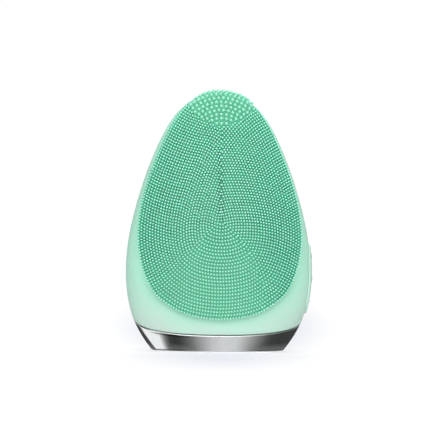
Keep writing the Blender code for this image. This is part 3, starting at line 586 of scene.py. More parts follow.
def bristles(name, low, mid, high, tip, specular=0.4):
    """Bristles: painted shade from root (low) to tip, slow painted light and shade over the pad.
    """
    mat = material(name)
    times, plus, minus, spread = mat.times, mat.plus, mat.minus, mat.spread
    height = mat.attr("h")
    x, _, z = mat.axes()
    # painted shade: darker down at the roots, between the bristles
    base = mat.ramp(height, [(0.0, low), (0.55, mid), (0.9, high), (1.0, tip)])
    vary = spread(mat.attr("rnd"), over=(0.0, 1.0))
    base = mat.mix(times(vary, 0.16), base, scaled(mid, 0.8))

    # painted light and shade: brighter low on the pad, darker towards both sides
    painted_low_light = times(spread(z, to=(1.0, 0.0), over=(0.018, 0.052)), 0.11)
    painted_low_light = times(painted_low_light, minus(1.25, times(height, 1.6)))
    painted_side_shade = plus(times(spread(x, over=(0.010, 0.030)), 0.20),
                times(spread(x, to=(1.0, 0.0), over=(-0.030, -0.010)), 0.13))
    painted_side_shade = times(painted_side_shade, minus(1.0, times(height, 0.9)))
    tone = minus(plus(painted_low_light, 0.97), painted_side_shade)

    # painted light: paler at the bottom, greener and lighter roots at the crown
    painted_low_sheen = times(spread(z, to=(1.0, 0.0), over=(0.016, 0.042)), plus(times(height, 0.11), 0.05))
    base = mat.mix(painted_low_sheen, base, srgb(204, 240, 224))
    crown = times(spread(z, over=(0.088, 0.096)), minus(0.42, times(height, 0.42)))
    base = mat.mix(crown, base, srgb(126, 207, 174))
    toned = mat.add("ShaderNodeVectorMath", {0: base, "Scale": tone}, operation="SCALE")

    # less red towards the sides, more so on +X
    turn = plus(times(spread(x, over=(0.006, 0.026)), 0.11),
                times(spread(mat.math("ABSOLUTE", x), over=(0.010, 0.028)), 0.06))
    turn = times(turn, minus(1.5, times(height, 1.35)))
    cool = mat.add("ShaderNodeCombineXYZ", {0: minus(1.0, turn), 1: 1.0, 2: 0.99})
    tint = mat.add("ShaderNodeVectorMath", {0: toned.outputs[0], 1: cool.outputs[0]},
                   operation="MULTIPLY")
    mat.bump(mat.noise(scale=9000.0, detail=2.0), strength=0.08, distance=0.00004)
    rough = spread(mat.noise(scale=700.0, detail=2.0), to=(0.44, 0.58))
    mat.set(Base_Color=tint.outputs[0], Roughness=rough, Subsurface_Weight=0.45,
            Subsurface_Radius=(0.5, 1.2, 0.9), Subsurface_Scale=0.0010, IOR=1.41,
            Specular_IOR_Level=specular)
    return mat.owner


def plastic(name, colour, rough, grain, bump, metal=0.0, spread=0.06):
    mat = material(name)
    cloud = mat.spread(mat.noise(scale=160.0))
    base = mat.ramp(cloud, [(0.0, scaled(colour, 1 - spread)), (1.0, scaled(colour, 1 + spread))])
    mat.bump(mat.noise(scale=grain, rough=0.6), strength=bump, distance=0.00005)
    mat.set(Base_Color=base, Roughness=mat.spread(mat.noise(scale=900.0), to=rough),
            Metallic=metal)
    return mat.owner


def brushed(name, colour, rough=(0.22, 0.38), stretch=(1.0, 1.0, 0.06), scale=9000.0):
    mat = material(name)
    line = mat.noise(scale=scale, detail=2.0, rough=0.5, stretch=stretch)
    base = mat.ramp(line, [(0.25, scaled(colour, 0.88)), (0.75, scaled(colour, 1.06))])
    mat.bump(line, strength=0.12, distance=0.00002)
    mat.set(Base_Color=base, Roughness=mat.spread(line, to=rough), Metallic=1.0)
    return mat.owner


def chrome(name):
    """Plating, darker and rougher along the bevelled rim (attributes edge and dark_reflection), a
    painted dark reflection.
    """
    mat = material(name)
    haze = mat.noise(scale=260.0, detail=4.0, rough=0.6)
    edge = mat.attr("edge")
    base = mat.ramp(haze, [(0.3, (0.72, 0.735, 0.74)), (0.7, (0.78, 0.79, 0.79))])
    # painted dark reflection on the bevelled rim
    base = mat.mix(mat.times(edge, mat.attr("dark_reflection"), clamp=True), base, (0.13, 0.16, 0.145))
    rough = mat.plus(mat.spread(haze, to=(0.06, 0.10)), mat.times(edge, 0.24))
    mat.bump(mat.noise(scale=120.0, detail=1.0), strength=0.03, distance=0.0001)
    mat.set(Base_Color=base, Roughness=rough, Metallic=1.0)
    return mat.owner


def circuit(name, colour):
    mat = material(name)
    brick = mat.add("ShaderNodeTexBrick", {
        "Scale": 420.0, "Mortar Size": 0.018, "Color1": rgba(colour),
        "Color2": rgba(scaled(colour, 0.85)), "Mortar": rgba(scaled(colour, 1.8)),
        "Vector": mat.coord}).outputs
    mat.bump(brick["Fac"], strength=0.2, distance=0.00003)
    rough = mat.spread(mat.noise(scale=800.0), to=(0.28, 0.42))
    mat.set(Base_Color=brick["Color"], Roughness=rough)
    return mat.owner


def fabric(name, colour):
    mat = material(name)
    cell = mat.add("ShaderNodeTexVoronoi", {"Scale": 2600.0, "Vector": mat.coord},
                   feature="F1").outputs["Distance"]
    base = mat.ramp(cell, [(0.0, scaled(colour, 0.6)), (0.6, scaled(colour, 1.15))])
    mat.bump(cell, strength=0.6, distance=0.00012)
    mat.set(Base_Color=base, Roughness=0.92)
    return mat.owner


def winding(name, colour):
    mat = material(name)
    wave = mat.add("ShaderNodeTexWave", {
        "Scale": 900.0, "Distortion": 0.4, "Vector": mat.coord},
        wave_type="RINGS", rings_direction="Z").outputs["Fac"]
    base = mat.ramp(wave, [(0.1, scaled(colour, 0.55)), (0.6, colour)])
    mat.bump(wave, strength=0.5, distance=0.00008)
    rough = mat.spread(mat.noise(scale=1200.0), to=(0.25, 0.4))
    mat.set(Base_Color=base, Roughness=rough, Metallic=1.0)
    return mat.owner


def clear_lens(name, colour):
    mat = material(name)
    base = mat.ramp(mat.noise(scale=500.0), [(0.3, scaled(colour, 0.92)), (0.7, colour)])
    mat.bump(mat.noise(scale=1500.0), strength=0.05, distance=0.00003)
    mat.set(Base_Color=base, Roughness=0.12, Transmission_Weight=0.6, IOR=1.5)
    return mat.owner


EVEN = (1.0, 1.0, 1.0)
# Material slot: (maker, its settings)
MATERIAL_TABLE = {
    # low and glow on the silicones: painted light near the base and a painted glow by the pad
    "silicone_skin": (silicone, dict(colour=srgb(166, 213, 193), low=srgb(182, 199, 191),
                                     glow=srgb(152, 212, 187), rough=(0.42, 0.56))),
    "silicone_keys": (silicone, dict(colour=srgb(172, 209, 192), low=srgb(178, 208, 194))),
    # bristle colours: the dark low roots are painted shade between the bristles
    "bristle_silicone": (bristles, dict(low=srgb(82, 173, 140), mid=srgb(112, 200, 168),
                                        high=srgb(162, 237, 212), tip=srgb(181, 245, 224))),
    "inner_plastic": (plastic, dict(colour=(0.80, 0.81, 0.79), rough=(0.45, 0.6), grain=3800.0,
                                    bump=0.35, spread=0.03)),
    "plated_base": (chrome, {}),
    "foot_rubber": (plastic, dict(colour=(0.78, 0.79, 0.80), rough=(0.6, 0.8), grain=4200.0,
                                  bump=0.6, spread=0.08)),
    "seal_rubber": (plastic, dict(colour=(0.025, 0.025, 0.025), rough=(0.55, 0.7),
                                  grain=3000.0, bump=0.4)),
    "circuit_board": (circuit, dict(colour=(0.02, 0.16, 0.08))),
    "dark_component": (plastic, dict(colour=(0.022, 0.022, 0.025), rough=(0.35, 0.5),
                                     grain=5200.0, bump=0.5)),
    "ferrite": (plastic, dict(colour=(0.06, 0.06, 0.065), rough=(0.5, 0.7), grain=3500.0,
                              bump=0.7, metal=0.2)),
    "led_lens": (clear_lens, dict(colour=(0.80, 0.92, 0.86))),
    "connector_plastic": (plastic, dict(colour=(0.78, 0.75, 0.66), rough=(0.4, 0.5),
                                        grain=3000.0, bump=0.25)),
    "dark_nylon": (plastic, dict(colour=(0.06, 0.06, 0.065), rough=(0.4, 0.55), grain=2800.0,
                                 bump=0.4)),
    "battery_wrap": (brushed, dict(colour=(0.46, 0.48, 0.52), rough=(0.25, 0.4), stretch=EVEN,
                                   scale=900.0)),
    "foam": (fabric, dict(colour=(0.16, 0.16, 0.17))),
    "motor_steel": (brushed, dict(colour=(0.55, 0.55, 0.57))),
    "magnet": (plastic, dict(colour=(0.12, 0.11, 0.11), rough=(0.45, 0.6), grain=3000.0,
                             bump=0.5, metal=0.4)),
    "bronze": (brushed, dict(colour=(0.62, 0.42, 0.20), rough=(0.3, 0.45), stretch=EVEN,
                             scale=4000.0)),
    "copper": (winding, dict(colour=(0.74, 0.36, 0.18))),
    "heavy_alloy": (brushed, dict(colour=(0.34, 0.34, 0.36), rough=(0.3, 0.45),
                                  stretch=(1.0, 1.0, 0.3))),
    "wire_red": (plastic, dict(colour=(0.55, 0.03, 0.03), rough=(0.35, 0.5), grain=1800.0,
                               bump=0.2)),
    "wire_black": (plastic, dict(colour=(0.02, 0.02, 0.02), rough=(0.35, 0.5), grain=1800.0,
                                 bump=0.2)),
    "ribbon_film": (winding, dict(colour=(0.55, 0.26, 0.06))),
    "screw_steel": (brushed, dict(colour=(0.50, 0.50, 0.52), rough=(0.2, 0.35),
                                  stretch=(1.0, 1.0, 0.2))),
}
MATERIALS = {name: make(name, **looks) for name, (make, looks) in MATERIAL_TABLE.items()}
# a paler copy of the bristle silicone for the large bristles: painted light and shade for the
# crown
BIG_BRISTLES_LIT = bristles("bristle_silicone_large_lit", low=srgb(127, 204, 176),
                        mid=srgb(139, 211, 185), high=srgb(156, 221, 198),
                        tip=srgb(163, 223, 202), specular=0.26)
KEY_MARKS = silicone("silicone_marks", colour=srgb(108, 160, 140), low=srgb(112, 162, 143))


def paint_cad_nodes():
    slots = {part["node"]: part["material_slot"] for part in frame["record"]["subparts"]}
    for node, obj in frame["nodes"].items():
        looks = MATERIALS[slots[node]]
        if obj.material_slots:
            for material_slot in obj.material_slots:
                material_slot.material = looks
        else:
            obj.data.materials.append(looks)


paint_cad_nodes()


# ------------------------------------------------------------------ outlines
def pad_curve(inset, count):
    """Pad outline as (x, z), anticlockwise from its lowest point."""
    low, high = PAD_STATIONS[0][0], PAD_STATIONS[-1][0]
    turn = np.linspace(0, math.pi, count // 2 + 1)
    z = low + (high - low) * (1 - np.cos(turn)) / 2
    x = np.sqrt(np.maximum(PAD_SQ(z), 0))
    x[0] = x[-1] = 0
    right = np.stack([x, z], 1)
    return resample(np.vstack([right, right[1:-1][::-1] * [-1, 1]]), count, inset)


def stadium_ring(inset, count):
    """Outline of the key panel as (y, z)."""
    turn = np.linspace(0, math.pi, 60)
    y, rise = PANEL_RADIUS * np.cos(turn), PANEL_RADIUS * np.sin(turn)
    top = np.stack([y, PANEL_MID + PANEL_STRAIGHT + rise], 1)
    bottom = np.stack([-y, PANEL_MID - PANEL_STRAIGHT - rise], 1)
    return resample(np.vstack([top, bottom]), count, inset)


# ------------------------------------------------------------------ silicone skin
SKIN_THICK = 1.75
SKIN_SHIFT = 0.10  # lower edge above the rim plane
SKIN_EDGE_RADIUS, SKIN_EDGE_STEPS = 0.55, 6
SKIN_ROWS = 150
OPENING_INSET = 1.2  # openings lie this far inside the outlines of pad and key panel


def ripples(points):
    """Low ripples on the back, as an extra height."""
    x, y, z = points.T
    fade = smoothstep((1.0 - np.hypot(x / 22.0, (z - 52.0) / 27.0)) / 0.28)
    wave = 0.5 + 0.5 * np.cos(2 * math.pi * (z - 52.0 + 0.012 * x * x) / 5.2)
    return np.where(y > 0, 0.55 * wave ** 1.5 * fade, 0.0)


def build_skin():
    low = rim_height(ANGLES, SKIN_SHIFT)
    sections = []  # (heights, offset along the normal), from the rounded lower edge up
    for k in reversed(range(SKIN_EDGE_STEPS)):
        turn = math.pi / 2 * k / SKIN_EDGE_STEPS
        sections.append((low + SKIN_EDGE_RADIUS * (1 - math.sin(turn)),
                         -SKIN_EDGE_RADIUS * (1 - math.cos(turn))))
    start = low + SKIN_EDGE_RADIUS
    for i in range(1, SKIN_ROWS):
        rise = math.sin(math.pi / 2 * (i / SKIN_ROWS))
        sections.append((start + (TOP_Z - start) * rise, 0.0))
    outer, inner = [], []
    for z, offset in sections:
        points, normals = surf(z, ANGLES)
        outer.append(points + normals * (offset + ripples(points))[:, None])
        lining = points - normals * SKIN_THICK
        rim = RIM_Z + SKIN_SHIFT + RIM_SLOPE * lining[:, 1]
        lining[:, 2] = np.maximum(lining[:, 2], rim)
        inner.append(lining)
    verts = np.vstack(outer + [[[0, 0, TOP_Z]]] + inner + [[[0, 0, TOP_Z - SKIN_THICK]]])

    # openings under the pad and the key panel
    flat = np.vstack(outer)
    pad_hole = resample(pad_curve(OPENING_INSET, 900), 900)
    panel_hole = stadium_ring(OPENING_INSET, 200)
    gone = inside(pad_hole, flat[:, [0, 2]]) & (flat[:, 1] < -0.9)
    gone |= inside(panel_hole, flat[:, [1, 2]]) & (flat[:, 0] > 20)
    rows = len(sections)
    pole = rows * COLS
    shell = pole + 1  # vertices per shell
    keep = [face for face in grid_faces(rows, COLS) if not all(gone[i] for i in face)]
    faces = keep + [tuple(shell + i for i in face[::-1]) for face in keep]
    top = [(rows - 1) * COLS + j for j in range(COLS)]
    faces += fan(pole, top)
    faces += fan(shell + pole, [shell + i for i in top], flip=True)

    # walls between the shells along every open edge
    edges = dict.fromkeys(pair for face in keep for pair in zip(face, face[1:] + face[:1]))
    edges.update(dict.fromkeys(zip(top[1:] + top[:1], top)))
    faces += [(b, a, shell + a, shell + b) for a, b in edges if (b, a) not in edges]

    # painted glow and shadow by distance from the pad's outline, fading out towards the back
    gap = distance_to(pad_curve(0.0, 900), verts[:, [0, 2]])
    frontal = smoothstep((1.6 - verts[:, 1]) / 2.4)
    glow = np.exp(-gap / 2.8) * frontal
    shade = np.exp(-np.maximum(gap - 0.3, 0) / 1.05) * frontal
    # painted shadow: kept to the lower part of the pad's edge
    shade = shade * np.clip((34.0 - verts[:, 2]) / 16.0, 0, 1)
    obj = new_object("skin", verts, faces, "housing", "silicone_skin", None,
                     {"glow": glow, "shade": shade})
    fix_normals(obj, drop_loose=True)
    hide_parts("silicone_body")


build_skin()

# ------------------------------------------------------------------ pad membrane
PAD_INSET = 0.45
FOLD_REACH, FOLD_LENGTH = 2.4, 1.2  # depth reached past the silhouette, and over what length


def clamp_front(ring, share):
    """Pulls (x, z) points past a share of the form's silhouette back to it."""
    centre = np.array([0.0, INNER_Z])

    def within(part):
        x, z = (centre + (ring - centre) * part[:, None]).T
        limit = share * half_width(np.minimum(z, TOP_Z - 1e-3))
        return (z < TOP_Z - 1e-3) & (np.abs(x) < limit)

    return centre + (ring - centre) * bisect(within, np.ones(len(ring)), 40)[:, None]


def fold_depth(past):
    """Depth (y) of points that lie past the top's edge by a distance."""
    return FOLD_REACH * np.sqrt(np.clip(past / FOLD_LENGTH, 0, 1))


def over_top(ring):
    """Outline points in space: those past the silhouette fold over the top to the back."""
    inner = clamp_front(ring, 0.99999)
    past = np.linalg.norm(ring - inner, axis=1)
    points = front(inner)[0]
    y = np.where(past > 1e-3, fold_depth(past), points[:, 1])
    return cast(np.column_stack([points[:, 0], y, points[:, 2]]))[0]


def build_pad():
    ring = over_top(pad_curve(PAD_INSET, 420))
    spine_x, spine_z = np.clip(ring[:, 0], -1.0, 1.0) * 0.5, np.clip(ring[:, 2], 44.0, 82.0)
    obj = slab(
        "pad_membrane", ring, front(np.stack([spine_x, spine_z], 1))[0], cast,
        lip=[(0.0, -0.05), (0.0, 0.02), (0.05, 0.09), (0.14, 0.14), (0.28, 0.16)], rings=70,
        underside=lambda inset: np.where(inset < 1.6, -0.05, -1.6),
        # the membrane takes the bristles' root colour (h 0), painted shade
        body="housing", slot="bristle_silicone", power=1.5, attrs={"h": 0.0, "rnd": 0.3})
    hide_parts("brush_pad")


build_pad()

# ------------------------------------------------------------------ bristle rows
FINE_PITCH = 1.16
CORE = np.array([0.0, 52.4])  # (x, z) where the rows of fine bristles close
LOW_WARP = 0.815
RINGS = 29
FINE_LENGTH, BIG_LENGTH = 1.55, 1.85
TOP_SHIFT = 0.4  # sideways shift of the rows at the top
RNG = np.random.default_rng(7)


def warp(points):
    """Squeezes the lower half so that its rows lie further apart than those of the sides."""
    x, z = points.T
    return np.stack([x, np.where(z < CORE[1], CORE[1] - (CORE[1] - z) * LOW_WARP, z)], 1)


class RowField:
    """Row level over the pad: distance from the outline, eased below the core towards rings."""

    STEP = 0.2  # grid spacing
    LOW_Z = 11.0

    def __init__(self):
        edge = resample(warp(pad_curve(0.0, 2400)), 1000)
        self.rays = np.linspace(-math.pi, math.pi, 1801)
        ring = pad_curve(0.0, 3000) - CORE
        angle = np.arctan2(ring[:, 1], ring[:, 0])
        order = np.argsort(angle)
        radius = np.hypot(ring[:, 0], ring[:, 1])
        self.reach = np.interp(self.rays, angle[order], radius[order], period=2 * math.pi)
        self.top = float(distance_to(edge, warp(CORE[None, :]))[0])
        grid_x, grid_z = np.meshgrid(np.arange(0.0, 35.01, self.STEP),
                                     np.arange(self.LOW_Z, 107.01, self.STEP))
        points = np.column_stack([grid_x.ravel(), grid_z.ravel()])
        flat = warp(points)
        gap = distance_to(edge, flat)
        gap = np.where(inside(edge, flat), gap, -gap)
        x, z = (points - CORE).T
        reach = np.interp(np.arctan2(z, x), self.rays, self.reach)
        polar = self.top * (1 - np.hypot(x, z) / reach)
        share = 0.27 + 0.38 * np.clip(polar / self.top, 0, 1) ** 2
        level = gap + (polar - gap) * share * smoothstep(-z / 5.0)
        self.grid = level.reshape(grid_x.shape)

    def __call__(self, points):
        """Level at (x, z) points, interpolated on the grid of the right half."""
        grid = self.grid
        at_x = np.clip(np.abs(points[:, 0]) / self.STEP, 0, grid.shape[1] - 1.001)
        at_z = np.clip((points[:, 1] - self.LOW_Z) / self.STEP, 0, grid.shape[0] - 1.001)
        i, j = at_z.astype(int), at_x.astype(int)
        right, up = at_x - j, at_z - i
        lower = grid[i, j] * (1 - right) + grid[i, j + 1] * right
        upper = grid[i + 1, j] * (1 - right) + grid[i + 1, j + 1] * right
        return lower * (1 - up) + upper * up

    def ring(self, level):
        """The closed curve at a level, as seen from the core."""
        unit = np.stack([np.cos(self.rays[:-1]), np.sin(self.rays[:-1])], 1)

        def above(radius):
            return self(CORE + unit * radius[:, None]) > level

        return CORE + unit * bisect(above, self.reach[:-1], 30)[:, None]


def fine_tips():
    rows = RowField()
    pitch = (rows.top - 0.42) / RINGS
    out = [np.stack([np.zeros(6), CORE[1] + 0.1 + 1.12 * np.arange(6)], 1)]
    for k in range(1, RINGS + 1):
        ring = rows.ring(rows.top - pitch * k)
        x, z = (ring - CORE).T
        # each row starts on a slanting line at the lower right
        wanted = -38.0 - 0.6 * np.hypot(x, z)
        miss = np.abs(np.degrees(np.arctan2(z, x)) - wanted) + (x < 0) * 999
        ring = np.roll(ring, -int(np.argmin(miss)), 0)
        closed = np.vstack([ring, ring[:1]])
        total = arc_length(closed)[-1]
        count = max(int(round(total / FINE_PITCH)), 4)
        step = total / count if k < 4 else FINE_PITCH
        places = np.arange(count) * step + 0.3
        out.append(points_at(closed, places[places < total - 0.55 * step + 0.3]))
    tips = np.vstack(out)
    tips[:, 0] += TOP_SHIFT * np.clip((tips[:, 1] - 60.0) / 35.0, 0, 1)
    return tips


def seat(tips, length):
    """Base points and normals on the front whose bristle tips are seen at given places."""
    base = clamp_front(tips, 0.999)
    for _ in range(25):
        normals = front(base)[1]
        goal = tips - length * normals[:, [0, 2]]
        base = clamp_front(base + 0.5 * (goal - base), 0.9995)
    points, normals = front(base)
    miss = np.linalg.norm(points[:, [0, 2]] + length * normals[:, [0, 2]] - tips, axis=1)
    return points[miss < 0.9], normals[miss < 0.9]


def field(name, points, normals, profile, sides, scale, tilt=0.02):
    """Closed turned bristles. profile: (radius, height) from the sunk foot to the pointed end."""
    count = len(points)
    normals = normals + RNG.normal(0, tilt, normals.shape)
    normals /= np.linalg.norm(normals, axis=1, keepdims=True)
    steep = np.abs(normals[:, [2]]) > 0.9
    first = np.cross(np.where(steep, np.array([[1.0, 0, 0]]), np.array([[0, 0, 1.0]])), normals)
    first /= np.linalg.norm(first, axis=1, keepdims=True)
    second = np.cross(normals, first)
    grow = (1 + RNG.normal(0, 0.012, count)) * scale
    turn = (2 * math.pi * np.arange(sides) / sides)[None, :, None]
    rings, top = profile[:-1], profile[-1][1]
    size = len(rings) * sides + 2  # vertices per bristle; the last two are foot and tip
    verts = np.empty((count, size, 3))
    height = np.empty((count, size))
    for i, (radius, z) in enumerate(rings):
        span = slice(i * sides, (i + 1) * sides)
        circle = radius * (np.cos(turn) * first[:, None, :] + np.sin(turn) * second[:, None, :])
        rise = normals[:, None, :] * (z * grow)[:, None, None]
        verts[:, span] = points[:, None, :] + rise + circle
        height[:, span] = max(z, 0) / top
    verts[:, -2] = points + normals * rings[0][1]
    height[:, -2] = 0
    verts[:, -1] = points + normals * (top * grow)[:, None]
    height[:, -1] = 1
    one = grid_faces(len(rings), sides)
    one += fan(size - 2, list(range(sides)), flip=True)
    one += fan(size - 1, [(len(rings) - 1) * sides + j for j in range(sides)])
    faces = [tuple(k * size + i for i in face) for k in range(count) for face in one]
    attrs = {"h": height.reshape(-1), "rnd": np.repeat(RNG.random(count), size)}
    return new_object(name, verts.reshape(-1, 3), faces, "housing", "bristle_silicone", None,
                      attrs)


def dome(radius, foot, length, steps):
    """Profile of a tapered stalk with a round tip."""
    profile = [(foot * 1.06, -0.25), (foot, 0.05), (foot * 0.93, length * 0.45)]
    for k in range(steps):
        turn = math.pi / 2 * k / steps
        profile.append((radius * math.cos(turn), length - radius + radius * math.sin(turn)))
    return profile + [(0.0, length)]


# Large rows: height of the row's middle, droop per mm squared, pitch, places on each side of
# the middle, half step or not
BIG_ROWS = [
    (103.5, 0.0300, 1.91, 7, False), (101.75, 0.0330, 1.91, 7, True),
    (100.0, 0.0375, 1.91, 6, False), (98.4, 0.0415, 1.97, 5, False),
    (96.7, 0.0460, 1.91, 5, True), (95.0, 0.0525, 2.06, 3, False),
    (93.4, 0.0560, 1.95, 2, False), (91.3, 0.0, 1.92, 1, False)]
BIG_END_X = 12.9


def big_tips():
    x = np.linspace(0, 16, 1601)
    out = []
    for middle, droop, pitch, places, half in BIG_ROWS:
        at = (np.arange(places) + 0.5 if half else np.arange(1, places + 1)) * pitch
        right = points_at(np.stack([x, middle - droop * x * x], 1), at)
        out += [right, right * [-1, 1]]
        if not half:
            out.append(np.array([[0.0, middle]]))
    return np.vstack(out) + [TOP_SHIFT, 0.0]


PAD_RING = pad_curve(PAD_INSET, 1600)


def ridge_row(y, places, end_x, margin):
    """Bristle seats along the top at depth y, at distances from the middle along the skin."""
    z = TOP_Z - (TOP_Z - 90.0) * np.linspace(0, 1, 2500) ** 2
    x = half_width(z)
    x[0] = 0
    view = points_at(np.stack([x, z], 1), places)
    view = np.vstack([view, view[view[:, 0] > 1e-6] * [-1, 1]])
    past = distance_to(PAD_RING, view) * np.where(inside(PAD_RING, view), 1, -1)
    view = view[(y < fold_depth(past) - 0.35) & (view[:, 0] > -10.3) & (view[:, 0] < end_x)
                & (past > margin)]
    return cast(np.column_stack([view[:, 0] + TOP_SHIFT, np.full(len(view), y), view[:, 1]]))


def build_large_bristles(large):
    points, normals = seat(large, BIG_LENGTH)
    # (depth, first place in pitches, least distance inside the pad's outline)
    for y, first, margin in ((-1.5, 0.5, 0.3), (-0.25, 0.5, -9.0), (1.45, 0.0, -9.0)):
        row = ridge_row(y, (np.arange(8) + first) * 1.77, BIG_END_X, margin)
        points, normals = np.vstack([points, row[0]]), np.vstack([normals, row[1]])
    # the ridge rows shorten towards their ends
    scale = np.ones(len(points))
    x, y, _ = points[len(large):].T
    ends = np.interp(x, [-10.2, -8.0, -5.0, 8.5, 10.5, 12.2, 13.4],
                     [0.35, 0.62, 0.92, 0.95, 0.85, 0.7, 0.5])
    scale[len(large):] = ends * np.where(y < -1.0, 0.88, 1.0)
    obj = field("large_bristles", points, normals, dome(0.56, 0.66, BIG_LENGTH, 6), 18, scale,
                tilt=0.012)
    obj.data.materials[0] = BIG_BRISTLES_LIT


def build_fine_bristles(large):
    tips = fine_tips()
    x, z = tips.T
    crown = (np.abs(x) < 12.6) & (z > TOP_Z - 1.0 - 0.033 * x ** 2)
    tips = tips[(distance_to(large, tips) > 1.32) & ~crown]
    points, normals = seat(tips, FINE_LENGTH)
    scale = np.ones(len(points))
    for y in (-0.55, 0.6):
        row, row_normals = ridge_row(y, 14.2 + 1.04 * np.arange(5), 30.0, 0.25)
        clear = distance_to(points, row) > 0.8
        row, row_normals = row[clear], row_normals[clear]
        points, normals = np.vstack([points, row]), np.vstack([normals, row_normals])
        ends = np.interp(np.abs(row[:, 0]), [12.0, 13.2, 15.4], [0.8, 0.6, 0.3])
        scale = np.concatenate([scale, ends])
    x = points[:, 0]
    left, right = x < -9.5, x >= 9.5
    for label, part in (("left", left), ("middle", ~left & ~right), ("right", right)):
        field(f"fine_bristles_{label}", points[part], normals[part],
              dome(0.34, 0.43, FINE_LENGTH, 4), 10, scale[part])


LARGE_TIPS = big_tips()
build_large_bristles(LARGE_TIPS)
build_fine_bristles(LARGE_TIPS)

# ------------------------------------------------------------------ key panel and keys
KEY_RADIUS, KEY_HOLE_RADIUS = 3.68, 4.05
KEY_SINK = 1.0  # depth of a cap below the form
MARK_LOW = 0.6  # height over the form where marks begin


def build_panel():
    ring = stadium_ring(0.0, 260)
    rise = np.clip(ring[:, 1] - PANEL_MID, -PANEL_STRAIGHT, PANEL_STRAIGHT) * 0.98
    strip = slab(
        "key_strip", ring, np.stack([np.zeros(len(ring)), PANEL_MID + rise], 1), side,
        lip=[(0.0, -0.3)] + round_lip(radius=0.55, height=0.7, steps=7), rings=16,
        underside=lambda inset: np.where(inset < 1.5, -0.3, -1.6),
        body="housing", slot="silicone_keys", power=1.3)
    holes = [((20, 0, z), (60, 0, z), KEY_HOLE_RADIUS) for z in KEY_Z.values()]
    boolean(strip, cylinders("cut", holes, 72), "DIFFERENCE")
    smooth(strip, 35)
    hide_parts("button_panel")


def build_key(key):
    """Round cap with a stalk behind it."""
    z = KEY_Z[key]
    centre = np.array([[0.0, z]])
    turn = 2 * math.pi * np.arange(72) / 72
    ring = np.stack([KEY_RADIUS * np.cos(turn), z + KEY_RADIUS * np.sin(turn)], 1)
    lip = [(0.0, -KEY_SINK)] + round_lip(radius=0.45, height=0.65, steps=6)
    lip += [(1.0, 0.68), (1.8, 0.72), (2.6, 0.74)]
    obj = slab("key_" + key + "_cap", ring, centre + (ring - centre) * 0.04, side,
               lip=lip, rings=6, underside=lambda inset: np.full(inset.shape, -KEY_SINK),
               body="key_" + key, slot="silicone_keys", power=1.0)
    inner_x = float(mm_box("button_" + key)[0][0])
    boolean(obj, cylinders("stalk", [((inner_x, 0, z), (35.0, 0, z), 1.5)], 32), "UNION")
    smooth(obj, 50)
    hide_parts("button_" + key)


def add_mark(name, key, layers, faces):
    """Raised mark on a key. layers: ((y, z) points round the key's centre, height) pairs."""
    verts = []
    for loop, height in layers:
        points, normals = side(loop + np.array([[0.0, KEY_Z[key]]]))
        verts.append(points + normals * height)
    obj = new_object(name, np.vstack(verts), faces, "key_" + key, "silicone_keys", 40)
    obj.data.materials[0] = KEY_MARKS
    fix_normals(obj)


def flat_mark(name, key, loop):
    """Mark from one closed outline, slightly chamfered on top."""
    loop = np.array(loop, float)
    centre = loop.mean(0)
    layers = [(loop, MARK_LOW), (loop, 0.86), (centre + (loop - centre) * 0.96, 0.91)]
    add_mark(name, key, layers, capped_faces(3, len(loop)))


def arc_mark(name, key):
    """Ring mark with a gap at the top."""
    gap = math.radians(38)
    turn = np.linspace(math.pi / 2 + gap, math.pi / 2 + 2 * math.pi - gap, 40)
    unit = np.stack([np.cos(turn), np.sin(turn)], 1)
    layers = [(unit * radius, height) for height in (MARK_LOW, 0.89) for radius in (1.35, 0.92)]
    count = len(turn)
    # corners of the section: outer low, inner low, outer high, inner high
    outer, inner, outer_top, inner_top = (count * k for k in range(4))
    faces = []
    for i in range(count - 1):
        j = i + 1
        faces += [(outer + i, outer + j, outer_top + j, outer_top + i),
                  (inner + j, inner + i, inner_top + i, inner_top + j),
                  (outer_top + i, outer_top + j, inner_top + j, inner_top + i),
                  (outer + j, outer + i, inner + i, inner + j)]
    end = count - 1
    faces += [(outer, outer_top, inner_top, inner),
              (outer + end, inner + end, inner_top + end, outer_top + end)]
    add_mark(name, key, layers, faces)


def build_marks():
    half, arm = 0.24, 1.15  # half thickness and half length of the bars
    flat_mark("mark_minus", "minus", [(-arm, -half), (arm, -half), (arm, half), (-arm, half)])
    flat_mark("mark_plus", "plus", [
        (-arm, -half), (-half, -half), (-half, -arm), (half, -arm), (half, -half), (arm, -half),
        (arm, half), (half, half), (half, arm), (-half, arm), (-half, half), (-arm, half)])
    arc_mark("mark_power_arc", "power")
    flat_mark("mark_power_bar", "power", [(-0.2, 0.35), (0.2, 0.35), (0.2, 1.6), (-0.2, 1.6)])


build_panel()
for key_name in KEY_Z:
    build_key(key_name)
build_marks()

# ------------------------------------------------------------------ plated base and foot
CUP_SHIFT = -0.12  # rim of the cup against the rim plane
CUP_BEVEL = 0.38
CUP_WALL, CUP_LEDGE = 1.75, 4.15  # insets of the wall's inner face and of the well below it
# Across the cup, -1 to 1: how far the bevelled rim is darkened on the front, a painted dark
# reflection
RIM_DARK_REFLECTION = [(-1.0, 0.9), (-0.90, 0.85), (-0.82, 0.05), (-0.55, 0.45), (-0.2, 0.40), (0.3, 0.40),
           (0.5, 0.55), (0.64, 0.9), (1.0, 0.95)]
# Foot: (inset from the form at the base, height)
FOOT_RINGS = [(9.0, 0.35), (6.2, 0.35), (6.0, 0.32), (5.8, 0.05), (5.6, 0.0), (2.1, 0.0),
              (1.85, 0.05), (1.68, 0.16), (1.62, 0.3), (1.62, 1.0)]


def lookup(value, pairs):
    return np.interp(value, *zip(*pairs))


def ring_at(z, offset):
    points, normals = surf(z, ANGLES)
    return points + normals * offset


